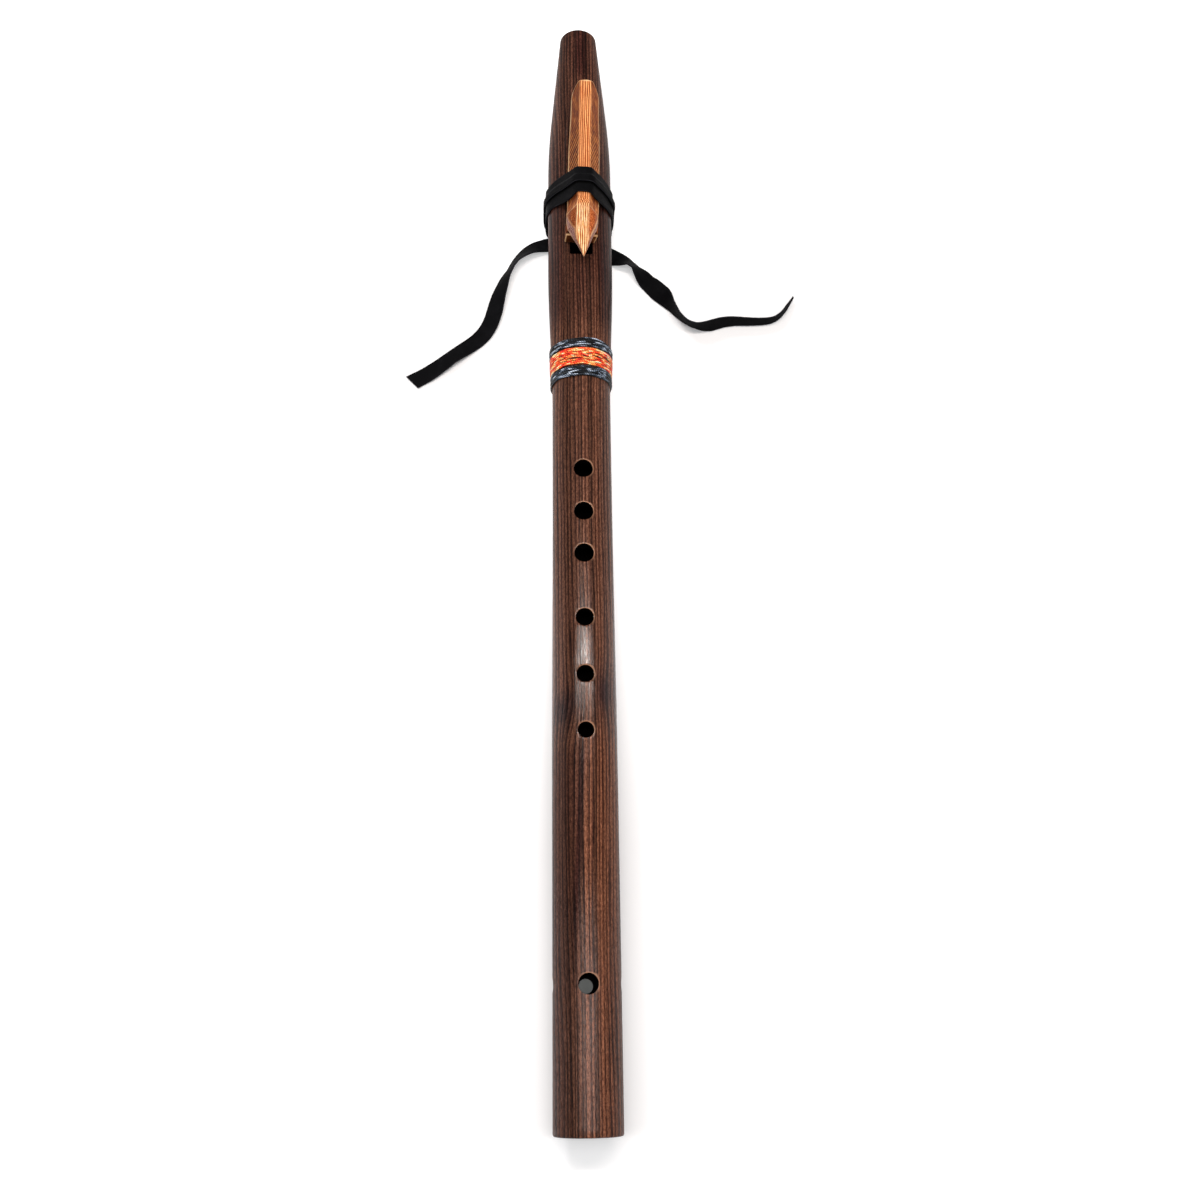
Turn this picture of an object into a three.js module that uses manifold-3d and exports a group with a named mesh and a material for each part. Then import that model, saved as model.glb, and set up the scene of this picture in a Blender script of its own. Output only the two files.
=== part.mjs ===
import * as THREE from 'three';
import { ConvexGeometry } from 'three/addons/geometries/ConvexGeometry.js';
import { mergeVertices } from 'three/addons/utils/BufferGeometryUtils.js';
import Module from 'manifold-3d';

// Two-chambered cedar flute, in millimetres. The flute is drawn along +Y from its foot (y = 0) to its
// mouth end, with z measured up from the axis of the bore, and is then tilted to lie on its foot and knot.

// Air passages, in order from the foot to the mouth end
const soundChamberLength = 450.3;
const trueSoundHoleLength = 7.3;
const trueSoundHoleWidth = 12.5;
const dividerInset = 2.4;
const dividerThickness = 12;
const slowAirChamberLength = 103;
const mouthHoleLength = 34;
const chamberBoreRadius = 11;
const mouthHoleRadius = 4.5;
const flueDepth = 1;
const exitHoleLength = 8;
const exitHoleSetback = 2;
const splittingEdgeThickness = 0.9;
const splittingEdgeUndercut = 6;

// Outside of the body
const footRadius = 16.1;
const waistRadius = 15.6;
const nestRadius = 17.9;
const mouthRadius = 10.6;
const endRounding = 1;
const footBarrelLength = 180;
const footTaperLength = 120;
const swellLength = 85;
const swellBeforeEdge = 3.3;
const shoulderAfterEdge = 57.7;
const shoulderLength = 40;
const glueLine = 0.1;

// Nest, the flat that carries the block
const nestDepth = 2.4;
const nestBeforeEdge = 35;
const nestRampLength = 18;

// Finger holes and tuning holes; places are shares of the sound chamber's length from its splitting edge
const fingerHoleRadius = 4.9;
const fingerHolePlaceShares = [0.287, 0.34, 0.391, 0.467, 0.532, 0.5945];
const fingerHoleSizeShares = [1, 1, 1, 0.92, 0.88, 0.81];
const tuningHoleFromFoot = 65;
const topTuningHoleRadius = 4.7;
const otherTuningHoleRadius = 3.5;

// Block, measured from the middle of its front end and from its underside
const blockLength = 100;
const blockWidth = 17.5;
const blockSideHeight = 5.2;
const blockSaddleHeight = 14.4;
const blockStripWidth = 6.8;
const blockCrownHeight = 16.2;
const blockCrownSetback = 13.6;
const blockRampLength = 6.2;
const blockTailHeight = 12.4;
const blockTailSlope = 37;
const blockTailRounding = 12;
const blockHeadLength = 10;
const beakReach = 14.9;
const beakTipHeight = 9.6;
const beakTipThickness = 0.8;
const beakRootSetback = 4.3;
const beakRootWidth = 14.4;
const beakStripSetback = 9.4;
const beakStripRise = 2.3;
const blockLead = 0.5;
const blockOffset = 0.55;
const blockYawDegrees = 1.4;

// Strap, one leather thong wound twice over the block
const strapWidth = 10;
const strapThickness = 1;
const strapFromEdge = 29.1;
const strapOverlap = 3.4;
const strapStepLength = 1.5;
const knotWidth = 20;
const knotLength = 15;
const knotThickness = 3.2;
const knotCornerRadius = 4;
const knotEdgeRounding = 0.8;
const knotFromEdge = 27.7;

// Waxed thread windings, each one thread
const threadDiameter = 0.75;
const threadPitch = 1.2;
const threadSeat = 0.2;
const bandSpacing = 0.4;
const lowerDarkLoops = 5;
const orangeLoops = 7;
const upperDarkLoops = 4;
const windingBeforeEdge = 53.5;

// Room between pieces that touch, and how far a cutting shape runs past what it cuts
const seatGap = 0.3;
const overrun = 3;

// Round counts
const bodySides = 48;
const holeSides = 28;
const taperSteps = 5;
const swellSteps = 10;
const shoulderSteps = 6;
const roundingSteps = 3;
const tailSteps = 8;
const loopSteps = 24;
const threadSides = 6;
const strapArcStep = 8;
const knotBevelSteps = 2;
const knotCurveSteps = 4;
const tailSpanSteps = 2;

// Free ends of the strap, as they lie on the table: x, y and the twist of the thong in degrees, where 0 is flat
// and 90 stands on its edge; z follows from the twist. Start heights lift the ends to where they leave the knot.
const leftTailRoute = [
  [-10.3, 176.6, 0], [-14.5, 176.6, 4], [-18.5, 176, 10], [-23, 174.7, 18], [-27.6, 172.3, 28], [-32.2, 168.2, 45],
  [-36.4, 163, 72], [-39, 158.2, 86], [-42.2, 152, 62], [-44.2, 146, 40], [-45.9, 140.5, 28], [-47.1, 135.5, 18],
  [-48.3, 130, 12], [-49.8, 124.9, 8], [-52, 119.8, 4], [-55.2, 115, 0], [-59.2, 110.9, 0], [-63.6, 107.2, 4],
  [-68, 103.7, 10], [-72.3, 100.2, 14], [-76.6, 96.5, 10], [-81, 93, 6], [-85.4, 89.8, 3], [-89.6, 87.2, 0],
  [-93.4, 85, 0],
];
const rightTailRoute = [
  [10.3, 171.5, 0], [14, 171.5, -3], [18, 170.5, -8], [22, 168.6, -14], [26, 166.2, -30], [30, 163.4, -60],
  [33, 160.4, -70], [37.3, 155.8, -28], [41.8, 150.8, 4], [46.2, 145, 16], [49.8, 140, 28], [53.3, 134.4, 48],
  [57.4, 128.2, 70], [61.9, 124, 80], [66.6, 122, 80], [71.4, 121.7, 76], [76, 122.6, 68], [80.6, 124.2, 56],
  [85.2, 125.2, 44], [90, 125.6, 52], [94.6, 125.7, 60], [99.2, 125.8, 62], [103.8, 126.1, 64], [108.4, 126.7, 68],
  [112.6, 128.2, 74], [116, 130.8, 78], [118.8, 134.2, 80], [121.3, 138, 80], [124.6, 143.4, 78],
];
const tailStartHeight = 2.4;
const tailLandingShare = 0.12;
const tailFloorGap = 0.1;
const tailEdgeRounding = 0.3;
const leftTailWidthShares = [0.95, 0.95, 0.9, 0.95];
const rightTailWidthShares = [0.95, 1, 0.85, 0.45];

// Places along the flute, worked out from the sizes above
const trueSoundHoleEnd = soundChamberLength + trueSoundHoleLength;
const dividerStart = trueSoundHoleEnd + dividerInset;
const dividerEnd = dividerStart + dividerThickness;
const mouthHoleStart = dividerEnd + slowAirChamberLength;
const fluteLength = mouthHoleStart + mouthHoleLength;
const swellEnd = soundChamberLength - swellBeforeEdge;
const shoulderStart = soundChamberLength + shoulderAfterEdge;
const nestHeight = nestRadius - nestDepth;
const blockFront = trueSoundHoleEnd - blockLead;
const blockBottom = nestHeight + seatGap;
const blockYaw = THREE.MathUtils.degToRad(blockYawDegrees);
const lowerTurnStart = soundChamberLength + strapFromEdge;
const lowerTurnEnd = lowerTurnStart + strapWidth;
const upperTurnStart = lowerTurnEnd - strapOverlap;
const upperTurnEnd = upperTurnStart + strapWidth;
const knotPlace = soundChamberLength + knotFromEdge;
const strapUnderRadius = nestRadius + seatGap + strapThickness;
const knotDrop = strapUnderRadius + seatGap + knotThickness;

// The flute lies on the rim of its foot and on the knot, so its mouth end is a little higher
const restTilt = Math.atan((knotDrop - footRadius) / (knotPlace - endRounding));
const restLift = footRadius * Math.cos(restTilt) - endRounding * Math.sin(restTilt);
const faceLean = (mouthRadius - footRadius) * Math.sin(restTilt);
const middlePlace = (fluteLength * Math.cos(restTilt) + faceLean) / 2;

const wasm = await Module();
wasm.setup();

const axisX = new THREE.Vector3(1, 0, 0);
const axisY = new THREE.Vector3(0, 1, 0);
const axisZ = new THREE.Vector3(0, 0, 1);
const sideView = new THREE.Matrix4().makeBasis(axisY, axisZ, axisX);

// A closed geometry as a solid that can be joined and cut
function toSolid(geometry) {
  const bare = geometry.clone();
  bare.deleteAttribute('normal');
  bare.deleteAttribute('uv');
  const merged = mergeVertices(bare);
  const corners = merged.index.array;
  const triangles = [];
  for (let i = 0; i < corners.length; i += 3) {
    const [a, b, c] = [corners[i], corners[i + 1], corners[i + 2]];
    if (a !== b && b !== c && c !== a) triangles.push(a, b, c);
  }
  return new wasm.Manifold(new wasm.Mesh({
    numProp: 3,
    vertProperties: new Float32Array(merged.attributes.position.array),
    triVerts: new Uint32Array(triangles),
  }));
}

// A solid back as a geometry
function toGeometry(solid) {
  const mesh = solid.getMesh();
  const geometry = new THREE.BufferGeometry();
  geometry.setAttribute('position', new THREE.BufferAttribute(mesh.vertProperties, 3));
  geometry.setIndex(new THREE.BufferAttribute(mesh.triVerts, 1));
  geometry.computeVertexNormals();
  return geometry;
}

function geometryOf(points, triangles) {
  const geometry = new THREE.BufferGeometry();
  geometry.setAttribute('position', new THREE.Float32BufferAttribute(points.flat(), 3));
  geometry.setIndex(triangles);
  geometry.computeVertexNormals();
  return geometry;
}

// Six times the volume inside the triangles, negative where they face inwards
function signedVolume(points, triangles) {
  let total = 0;
  const [a, b, c] = [new THREE.Vector3(), new THREE.Vector3(), new THREE.Vector3()];
  for (let i = 0; i < triangles.length; i += 3) {
    a.fromArray(points[triangles[i]]);
    b.fromArray(points[triangles[i + 1]]);
    c.fromArray(points[triangles[i + 2]]);
    total += a.dot(b.cross(c));
  }
  return total;
}

// Joins rings of equal point counts; an open row of rings gets flat ends, a looped one joins its last to its first
function loft(rings, looped = false) {
  const sides = rings[0].length;
  const spans = looped ? rings.length : rings.length - 1;
  const points = rings.flat();
  let triangles = [];
  for (let span = 0; span < spans; span += 1) {
    const next = (span + 1) % rings.length;
    for (let side = 0; side < sides; side += 1) {
      const along = (side + 1) % sides;
      const [a, b] = [span * sides + side, span * sides + along];
      const [c, d] = [next * sides + along, next * sides + side];
      triangles.push(a, b, c, a, c, d);
    }
  }
  if (!looped) {
    const last = (rings.length - 1) * sides;
    for (let side = 1; side < sides - 1; side += 1) {
      triangles.push(0, side + 1, side);
      triangles.push(last, last + side, last + side + 1);
    }
  }
  if (signedVolume(points, triangles) < 0) triangles = triangles.reverse();
  return geometryOf(points, triangles);
}

function smoothStep(value) {
  const t = Math.min(Math.max(value, 0), 1);
  return t * t * (3 - 2 * t);
}

// Outside radius of the body: foot barrel, slim waist, swell that carries the nest, tapered mouth end
function bodyRadius(place) {
  const footShare = 1 - smoothStep((place - footBarrelLength) / footTaperLength);
  const swellShare = smoothStep((place - swellEnd + swellLength) / swellLength);
  const beyond = Math.max(place - shoulderStart, 0);
  const curved = Math.min(beyond, shoulderLength);
  const straight = beyond - curved;
  const fullCurve = shoulderLength / 2;
  const fullStraight = fluteLength - shoulderStart - shoulderLength;
  const dropShare = (curved * curved / shoulderLength / 2 + straight) / (fullCurve + fullStraight);
  return waistRadius + (footRadius - waistRadius) * footShare
    + (nestRadius - waistRadius) * swellShare - (nestRadius - mouthRadius) * dropShare;
}

function evenSteps(start, length, count) {
  return Array.from({ length: count + 1 }, (_, i) => start + length * i / count);
}

// Places where the outline needs a ring
function bodyStations() {
  const places = [
    ...evenSteps(footBarrelLength, footTaperLength, taperSteps),
    ...evenSteps(swellEnd - swellLength, swellLength, swellSteps),
    ...evenSteps(shoulderStart, shoulderLength, shoulderSteps),
  ];
  return places.filter((place) => place > endRounding && place < fluteLength - endRounding).sort((a, b) => a - b);
}

function bodyBlank() {
  const outline = [new THREE.Vector2(0, 0)];
  for (let i = 0; i <= roundingSteps; i += 1) {
    const turn = Math.PI / 2 * i / roundingSteps;
    const radius = footRadius - endRounding * (1 - Math.sin(turn));
    outline.push(new THREE.Vector2(radius, endRounding * (1 - Math.cos(turn))));
  }
  for (const place of bodyStations()) outline.push(new THREE.Vector2(bodyRadius(place), place));
  const lipRadius = bodyRadius(fluteLength - endRounding);
  for (let i = 0; i <= roundingSteps; i += 1) {
    const turn = Math.PI / 2 * i / roundingSteps;
    const radius = lipRadius - endRounding * (1 - Math.cos(turn));
    outline.push(new THREE.Vector2(radius, fluteLength - endRounding * (1 - Math.sin(turn))));
  }
  outline.push(new THREE.Vector2(0, fluteLength));
  return toSolid(new THREE.LatheGeometry(outline, bodySides));
}

// Round passage along the flute
function bore(radius, start, end) {
  const geometry = new THREE.CylinderGeometry(radius, radius, end - start, holeSides);
  geometry.translate(0, (start + end) / 2, 0);
  return toSolid(geometry);
}

// Round hole from the bore outwards; turn 0 faces up, and a quarter turn faces +X
function wallHole(radius, place, turn) {
  const height = nestRadius + overrun;
  const geometry = new THREE.CylinderGeometry(radius, radius, height, holeSides);
  geometry.rotateX(Math.PI / 2);
  geometry.translate(0, 0, height / 2);
  geometry.rotateY(turn);
  geometry.translate(0, place, 0);
  return toSolid(geometry);
}

// A side outline, as [place along the flute, height] points, cut right through at a width
function sideCut(outline, width) {
  const shape = new THREE.Shape(outline.map(([place, height]) => new THREE.Vector2(place, height)));
  const geometry = new THREE.ExtrudeGeometry(shape, { depth: width, bevelEnabled: false });
  geometry.translate(0, 0, -width / 2);
  geometry.applyMatrix4(sideView);
  return toSolid(geometry);
}

function nestCut() {
  const top = nestRadius + overrun;
  const start = soundChamberLength - nestBeforeEdge;
  const outline = [
    [start - nestRampLength, top], [start - nestRampLength, bodyRadius(start - nestRampLength)],
    [start, nestHeight], [fluteLength, nestHeight], [fluteLength, top],
  ];
  return sideCut(outline, 2 * top);
}

// The flue runs from the exit hole of the slow air chamber, over the divider, to the true sound hole
function airWayCuts() {
  const top = nestRadius + overrun;
  const exitStart = dividerEnd + exitHoleSetback;
  const exitEnd = exitStart + exitHoleLength;
  const edgeBottom = nestHeight - splittingEdgeThickness;
  const flue = [
    [trueSoundHoleEnd - endRounding, nestHeight - flueDepth], [exitEnd, nestHeight - flueDepth],
    [exitEnd, top], [trueSoundHoleEnd - endRounding, top],
  ];
  const exitHole = [[exitStart, 0], [exitEnd, 0], [exitEnd, top], [exitStart, top]];
  const soundHole = [
    [soundChamberLength, top], [soundChamberLength, edgeBottom],
    [soundChamberLength - splittingEdgeUndercut, 0], [trueSoundHoleEnd, 0], [trueSoundHoleEnd, top],
  ];
  return [flue, exitHole, soundHole].map((outline) => sideCut(outline, trueSoundHoleWidth));
}

function soundHoles() {
  const quarter = Math.PI / 2;
  const holes = fingerHolePlaceShares.map((share, i) => {
    const place = soundChamberLength * (1 - share);
    return wallHole(fingerHoleRadius * fingerHoleSizeShares[i], place, 0);
  });
  holes.push(wallHole(topTuningHoleRadius, tuningHoleFromFoot, 0));
  for (const turn of [quarter, -quarter, Math.PI]) {
    holes.push(wallHole(otherTuningHoleRadius, tuningHoleFromFoot, turn));
  }
  return holes;
}

function hollowBody() {
  const cuts = [
    bore(chamberBoreRadius, -overrun, dividerStart),
    bore(chamberBoreRadius, dividerEnd, mouthHoleStart),
    bore(mouthHoleRadius, mouthHoleStart - overrun, fluteLength + overrun),
    nestCut(),
    ...airWayCuts(),
    ...soundHoles(),
  ];
  return cuts.reduce((solid, cut) => solid.subtract(cut), bodyBlank());
}

// The half of the blank above or below the glue line
function bodyHalf(body, side) {
  const reach = nestRadius + overrun;
  const box = new THREE.BoxGeometry(2 * reach, fluteLength + 2 * overrun, reach);
  box.translate(0, fluteLength / 2, side * (reach + glueLine) / 2);
  return toGeometry(body.intersect(toSolid(box)));
}

// Half width of the block along its length, round at the tail
function blockHalfWidth(place) {
  const into = Math.max(place - blockLength + blockTailRounding, 0) / blockTailRounding;
  return blockWidth / 2 * Math.sqrt(Math.max(1 - into * into, 0));
}

// Top of the block from the saddle to the tail
function blockTop(place) {
  const tailShare = Math.max(place - blockLength + blockTailSlope, 0) / blockTailSlope;
  return blockSaddleHeight - (blockSaddleHeight - blockTailHeight) * tailShare * tailShare;
}

// Five-sided back of the block: upright sides, a facet each side and a flat strip on top
function blockBack() {
  const roundingStart = blockLength - blockTailRounding;
  const start = blockCrownSetback + blockRampLength;
  const places = [start, ...evenSteps(blockLength - blockTailSlope, blockTailSlope - blockTailRounding, 3)];
  for (let i = 1; i <= tailSteps; i += 1) {
    const turn = Math.PI / 2 * i / (tailSteps + 1);
    places.push(roundingStart + blockTailRounding * Math.sin(turn));
  }
  const rings = places.map((place) => {
    const half = blockHalfWidth(place);
    const strip = half * blockStripWidth / blockWidth;
    const top = blockTop(place);
    return [
      [-half, place, 0], [half, place, 0], [half, place, blockSideHeight],
      [strip, place, top], [-strip, place, top], [-half, place, blockSideHeight],
    ];
  });
  return toSolid(loft(rings));
}

// Carved head: crown, facets at the sides and a beak that reaches over the true sound hole
function blockHead() {
  const strip = blockStripWidth / 2;
  const rampEnd = blockCrownSetback + blockRampLength;
  const points = [new THREE.Vector3(0, -beakReach, beakTipHeight)];
  points.push(new THREE.Vector3(0, -beakReach + beakTipThickness, beakTipHeight - beakTipThickness));
  for (const side of [-1, 1]) {
    points.push(
      new THREE.Vector3(side * strip, beakStripSetback - beakReach, beakTipHeight + beakStripRise),
      new THREE.Vector3(side * strip, blockCrownSetback, blockCrownHeight),
      new THREE.Vector3(side * strip, rampEnd, blockSaddleHeight),
      new THREE.Vector3(side * beakRootWidth / 2, beakRootSetback, blockSideHeight),
      new THREE.Vector3(side * blockWidth / 2, blockHeadLength, blockSideHeight),
      new THREE.Vector3(side * blockWidth / 2, rampEnd, blockSideHeight),
      new THREE.Vector3(side * blockWidth / 2, rampEnd, 0),
      new THREE.Vector3(side * beakRootWidth / 2, beakRootSetback, 0),
    );
  }
  return toSolid(new ConvexGeometry(points));
}

function blockBase() {
  const length = blockCrownSetback + blockRampLength;
  const geometry = new THREE.BoxGeometry(blockWidth, length, blockSideHeight);
  geometry.translate(0, length / 2, blockSideHeight / 2);
  return toSolid(geometry);
}

// The head's convex shape starts from the base's ledge, so what it would add in front of the base is cut away
function beakUndercut() {
  const root = blockFront + beakRootSetback;
  const outline = [
    [blockFront - beakReach - overrun, -overrun], [root, -overrun], [root, blockSideHeight],
    [blockFront - beakReach - overrun, beakTipHeight - beakTipThickness],
  ];
  return sideCut(outline, 2 * blockWidth).translate([0, -blockFront, 0]);
}

function blockGeometry() {
  const head = blockHead().subtract(beakUndercut());
  return toGeometry(blockBase().add(head).add(blockBack()));
}

// Corners of the block's section that the strap passes over, at one place along the flute
function blockCornersAt(place) {
  const along = place - blockFront;
  const middle = blockOffset + Math.sin(blockYaw) * along;
  const corners = [];
  for (const side of [-1, 1]) {
    corners.push([middle + side * blockStripWidth / 2, blockBottom + blockSaddleHeight]);
    corners.push([middle + side * blockWidth / 2, blockBottom + blockSideHeight]);
  }
  return corners;
}

// A tight line round the body and the block: for each degree, the point that lies furthest out, and its direction
function strapLine() {
  const corners = [...blockCornersAt(lowerTurnStart), ...blockCornersAt(upperTurnEnd)];
  const line = [];
  for (let degree = 0; degree < 360; degree += 1) {
    const angle = THREE.MathUtils.degToRad(degree);
    const out = [Math.cos(angle), Math.sin(angle)];
    let best = { from: 'body', reach: nestRadius, base: out.map((part) => part * nestRadius) };
    corners.forEach((corner, i) => {
      const reach = corner[0] * out[0] + corner[1] * out[1];
      if (reach > best.reach) best = { from: i, reach, base: corner };
    });
    line.push({ ...best, out, degree });
  }
  return line.filter((point, i) => {
    const before = line[(i + line.length - 1) % line.length];
    const after = line[(i + 1) % line.length];
    return point.degree % strapArcStep === 0 || point.from !== before.from || point.from !== after.from;
  });
}

// A thong with the given section, as [place along the flute, height over the tight line] points
function strapTurn(section) {
  const rings = strapLine().map(({ base, out }) => section.map(([place, height]) => (
    [base[0] + out[0] * height, place, base[1] + out[1] * height]
  )));
  return loft(rings, true);
}

function lowerTurnGeometry() {
  const outside = seatGap + strapThickness;
  return strapTurn([
    [lowerTurnStart, seatGap], [lowerTurnStart, outside], [lowerTurnEnd, outside], [lowerTurnEnd, seatGap],
  ]);
}

// The upper turn rides over the edge of the lower turn and then comes down onto the block
function upperTurnGeometry() {
  const low = seatGap;
  const high = seatGap + strapThickness + seatGap;
  const stepStart = lowerTurnEnd + seatGap;
  const stepEnd = stepStart + strapStepLength;
  return strapTurn([
    [upperTurnStart, high], [upperTurnStart, high + strapThickness], [stepStart, high + strapThickness],
    [stepEnd, low + strapThickness], [upperTurnEnd, low + strapThickness], [upperTurnEnd, low],
    [stepEnd, low], [stepStart, high],
  ]);
}

// Outline of the knot seen from above, with round corners
function knotOutline() {
  const [x, y, r] = [knotWidth / 2 - knotEdgeRounding, knotLength / 2 - knotEdgeRounding, knotCornerRadius];
  const shape = new THREE.Shape();
  shape.moveTo(-x + r, -y);
  shape.lineTo(x - r, -y);
  shape.absarc(x - r, -y + r, r, -Math.PI / 2, 0);
  shape.lineTo(x, y - r);
  shape.absarc(x - r, y - r, r, 0, Math.PI / 2);
  shape.lineTo(-x + r, y);
  shape.absarc(-x + r, y - r, r, Math.PI / 2, Math.PI);
  shape.lineTo(-x, -y + r);
  shape.absarc(-x + r, -y + r, r, Math.PI, 3 * Math.PI / 2);
  return shape;
}

// The knot stands on the table, hollowed above to fit the strap's lower turn
function knotGeometry(fluteMatrix) {
  const height = 2 * knotThickness;
  const geometry = new THREE.ExtrudeGeometry(knotOutline(), {
    depth: height - 2 * knotEdgeRounding,
    bevelEnabled: true,
    bevelSize: knotEdgeRounding,
    bevelThickness: knotEdgeRounding,
    bevelSegments: knotBevelSteps,
    curveSegments: knotCurveSteps,
  });
  const middle = new THREE.Vector3(0, knotPlace, -knotDrop).applyMatrix4(fluteMatrix);
  geometry.translate(0, middle.y, knotEdgeRounding);
  const seat = new THREE.CylinderGeometry(
    strapUnderRadius + seatGap, strapUnderRadius + seatGap, 2 * knotLength, bodySides,
  );
  seat.translate(0, knotPlace, 0);
  seat.applyMatrix4(fluteMatrix);
  return toGeometry(toSolid(geometry).subtract(toSolid(seat)));
}

// A hand-chosen value along a list of shares, evenly spread from start to end
function shareAt(shares, along) {
  const spot = along * (shares.length - 1);
  const index = Math.min(Math.floor(spot), shares.length - 2);
  return shares[index] + (shares[index + 1] - shares[index]) * (spot - index);
}

// Height of the middle of a thong that lies on the table with this twist and width
function layHeight(twist, width) {
  return tailFloorGap + Math.abs(Math.sin(twist)) * width / 2 + Math.abs(Math.cos(twist)) * strapThickness / 2;
}

// A free end of the strap: a flat section with eased edges, twisted along its route
function tailGeometry(route, widthShares) {
  const path = new THREE.CatmullRomCurve3(route.map(([x, y]) => new THREE.Vector3(x, y, 0)));
  const steps = (route.length - 1) * tailSpanSteps;
  const rings = [];
  for (let i = 0; i <= steps; i += 1) {
    const along = i / steps;
    const twist = THREE.MathUtils.degToRad(shareAt(route.map((row) => row[2]), along));
    const width = strapWidth * shareAt(widthShares, along);
    const middle = path.getPoint(along);
    const ahead = path.getTangent(along);
    const landed = smoothStep(along / tailLandingShare);
    middle.z = Math.max(layHeight(twist, width), tailStartHeight * (1 - landed) + layHeight(twist, width) * landed);
    const across = new THREE.Vector3(-ahead.y, ahead.x, 0).applyAxisAngle(ahead, twist);
    const up = new THREE.Vector3().crossVectors(ahead, across);
    const [w, t, e] = [width / 2, strapThickness / 2, tailEdgeRounding];
    const section = [
      [-w, -t + e], [-w + e, -t], [w - e, -t], [w, -t + e], [w, t - e], [w - e, t], [-w + e, t], [-w, t - e],
    ];
    rings.push(section.map(([a, b]) => (
      middle.clone().addScaledVector(across, a).addScaledVector(up, b).toArray()
    )));
  }
  return loft(rings);
}

// Radius of the middle of a thread that seats on the body: its straight steps cut corners by a little
function threadRadius(place) {
  const seated = bodyRadius(place) + threadSeat + threadDiameter / 2;
  return seated / Math.cos(Math.PI / loopSteps);
}

// Middle line of a winding, with a straight end one thread long at each side
function windingLine(start, loops) {
  const line = [];
  const count = loops * loopSteps;
  for (let i = 0; i <= count; i += 1) {
    const angle = 2 * Math.PI * i / loopSteps;
    const place = start + threadPitch * i / loopSteps;
    const radius = threadRadius(place);
    line.push(new THREE.Vector3(radius * Math.sin(angle), place, -radius * Math.cos(angle)));
  }
  const straight = (from, towards) => from.clone().sub(towards).setLength(threadDiameter).add(from);
  return [straight(line[0], line[1]), ...line, straight(line[count], line[count - 1])];
}

// Least gap between a winding's loops, measured between points that are at least half a loop apart
function leastGap(line) {
  let least = Infinity;
  for (let i = 0; i < line.length; i += 1) {
    for (let j = i + loopSteps / 2; j < line.length; j += 1) {
      least = Math.min(least, line[i].distanceTo(line[j]) - threadDiameter);
    }
  }
  return least;
}

function windingGeometry(name, start, loops) {
  const line = windingLine(start, loops);
  console.log(`${name}: least gap between its loops ${leastGap(line).toFixed(2)} mm`);
  const rings = line.map((point, i) => {
    const before = line[Math.max(i - 1, 0)];
    const after = line[Math.min(i + 1, line.length - 1)];
    const ahead = after.clone().sub(before).normalize();
    const out = new THREE.Vector3(point.x, 0, point.z).normalize();
    const side = new THREE.Vector3().crossVectors(ahead, out).normalize();
    const lift = new THREE.Vector3().crossVectors(side, ahead);
    return Array.from({ length: threadSides }, (_, k) => {
      const angle = 2 * Math.PI * k / threadSides;
      return point.clone()
        .addScaledVector(side, threadDiameter / 2 * Math.cos(angle))
        .addScaledVector(lift, threadDiameter / 2 * Math.sin(angle))
        .toArray();
    });
  });
  return loft(rings);
}

const materials = {
  body: { color: 0x4a2e26, roughness: 0.45, metalness: 0 },
  block: { color: 0xb5703f, roughness: 0.6, metalness: 0 },
  leather: { color: 0x151515, roughness: 0.85, metalness: 0 },
  darkThread: { color: 0x2a3038, roughness: 0.5, metalness: 0 },
  orangeThread: { color: 0xe8502c, roughness: 0.5, metalness: 0 },
};

function addPiece(group, name, geometry, look) {
  const mesh = new THREE.Mesh(geometry, new THREE.MeshStandardMaterial(look));
  mesh.name = name;
  group.add(mesh);
  return mesh;
}

function addBody(flute) {
  const body = hollowBody();
  addPiece(flute, 'body_top_half', bodyHalf(body, 1), materials.body);
  addPiece(flute, 'body_bottom_half', bodyHalf(body, -1), materials.body);
}

function addBlock(flute) {
  const block = addPiece(flute, 'block', blockGeometry(), materials.block);
  block.position.set(blockOffset, blockFront, blockBottom);
  block.rotation.z = -blockYaw;
}

function addWindings(flute) {
  const bands = [
    ['winding_dark_lower', lowerDarkLoops, materials.darkThread],
    ['winding_orange', orangeLoops, materials.orangeThread],
    ['winding_dark_upper', upperDarkLoops, materials.darkThread],
  ];
  const loops = lowerDarkLoops + orangeLoops + upperDarkLoops;
  const length = loops * threadPitch + bands.length * threadDiameter + (bands.length - 1) * bandSpacing;
  let start = soundChamberLength - windingBeforeEdge - length + threadDiameter / 2;
  for (const [name, count, look] of bands) {
    addPiece(flute, name, windingGeometry(name, start, count), look);
    start += count * threadPitch + threadDiameter + bandSpacing;
  }
}

function addStrap(part, flute) {
  addPiece(flute, 'strap_lower_turn', lowerTurnGeometry(), materials.leather);
  addPiece(flute, 'strap_upper_turn', upperTurnGeometry(), materials.leather);
  addPiece(part, 'strap_knot', knotGeometry(flute.matrixWorld), materials.leather);
  addPiece(part, 'strap_left_tail', tailGeometry(leftTailRoute, leftTailWidthShares), materials.leather);
  addPiece(part, 'strap_right_tail', tailGeometry(rightTailRoute, rightTailWidthShares), materials.leather);
}

function makePart() {
  const part = new THREE.Group();
  const flute = new THREE.Group();
  flute.position.set(0, -middlePlace, restLift);
  flute.rotation.x = restTilt;
  part.add(flute);
  part.updateMatrixWorld(true);
  addBody(flute);
  addBlock(flute);
  addWindings(flute);
  addStrap(part, flute);
  return part;
}

export default makePart();
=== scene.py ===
import math

import bmesh
import bpy
import numpy as np
from mathutils import Matrix, Vector, noise


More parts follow.
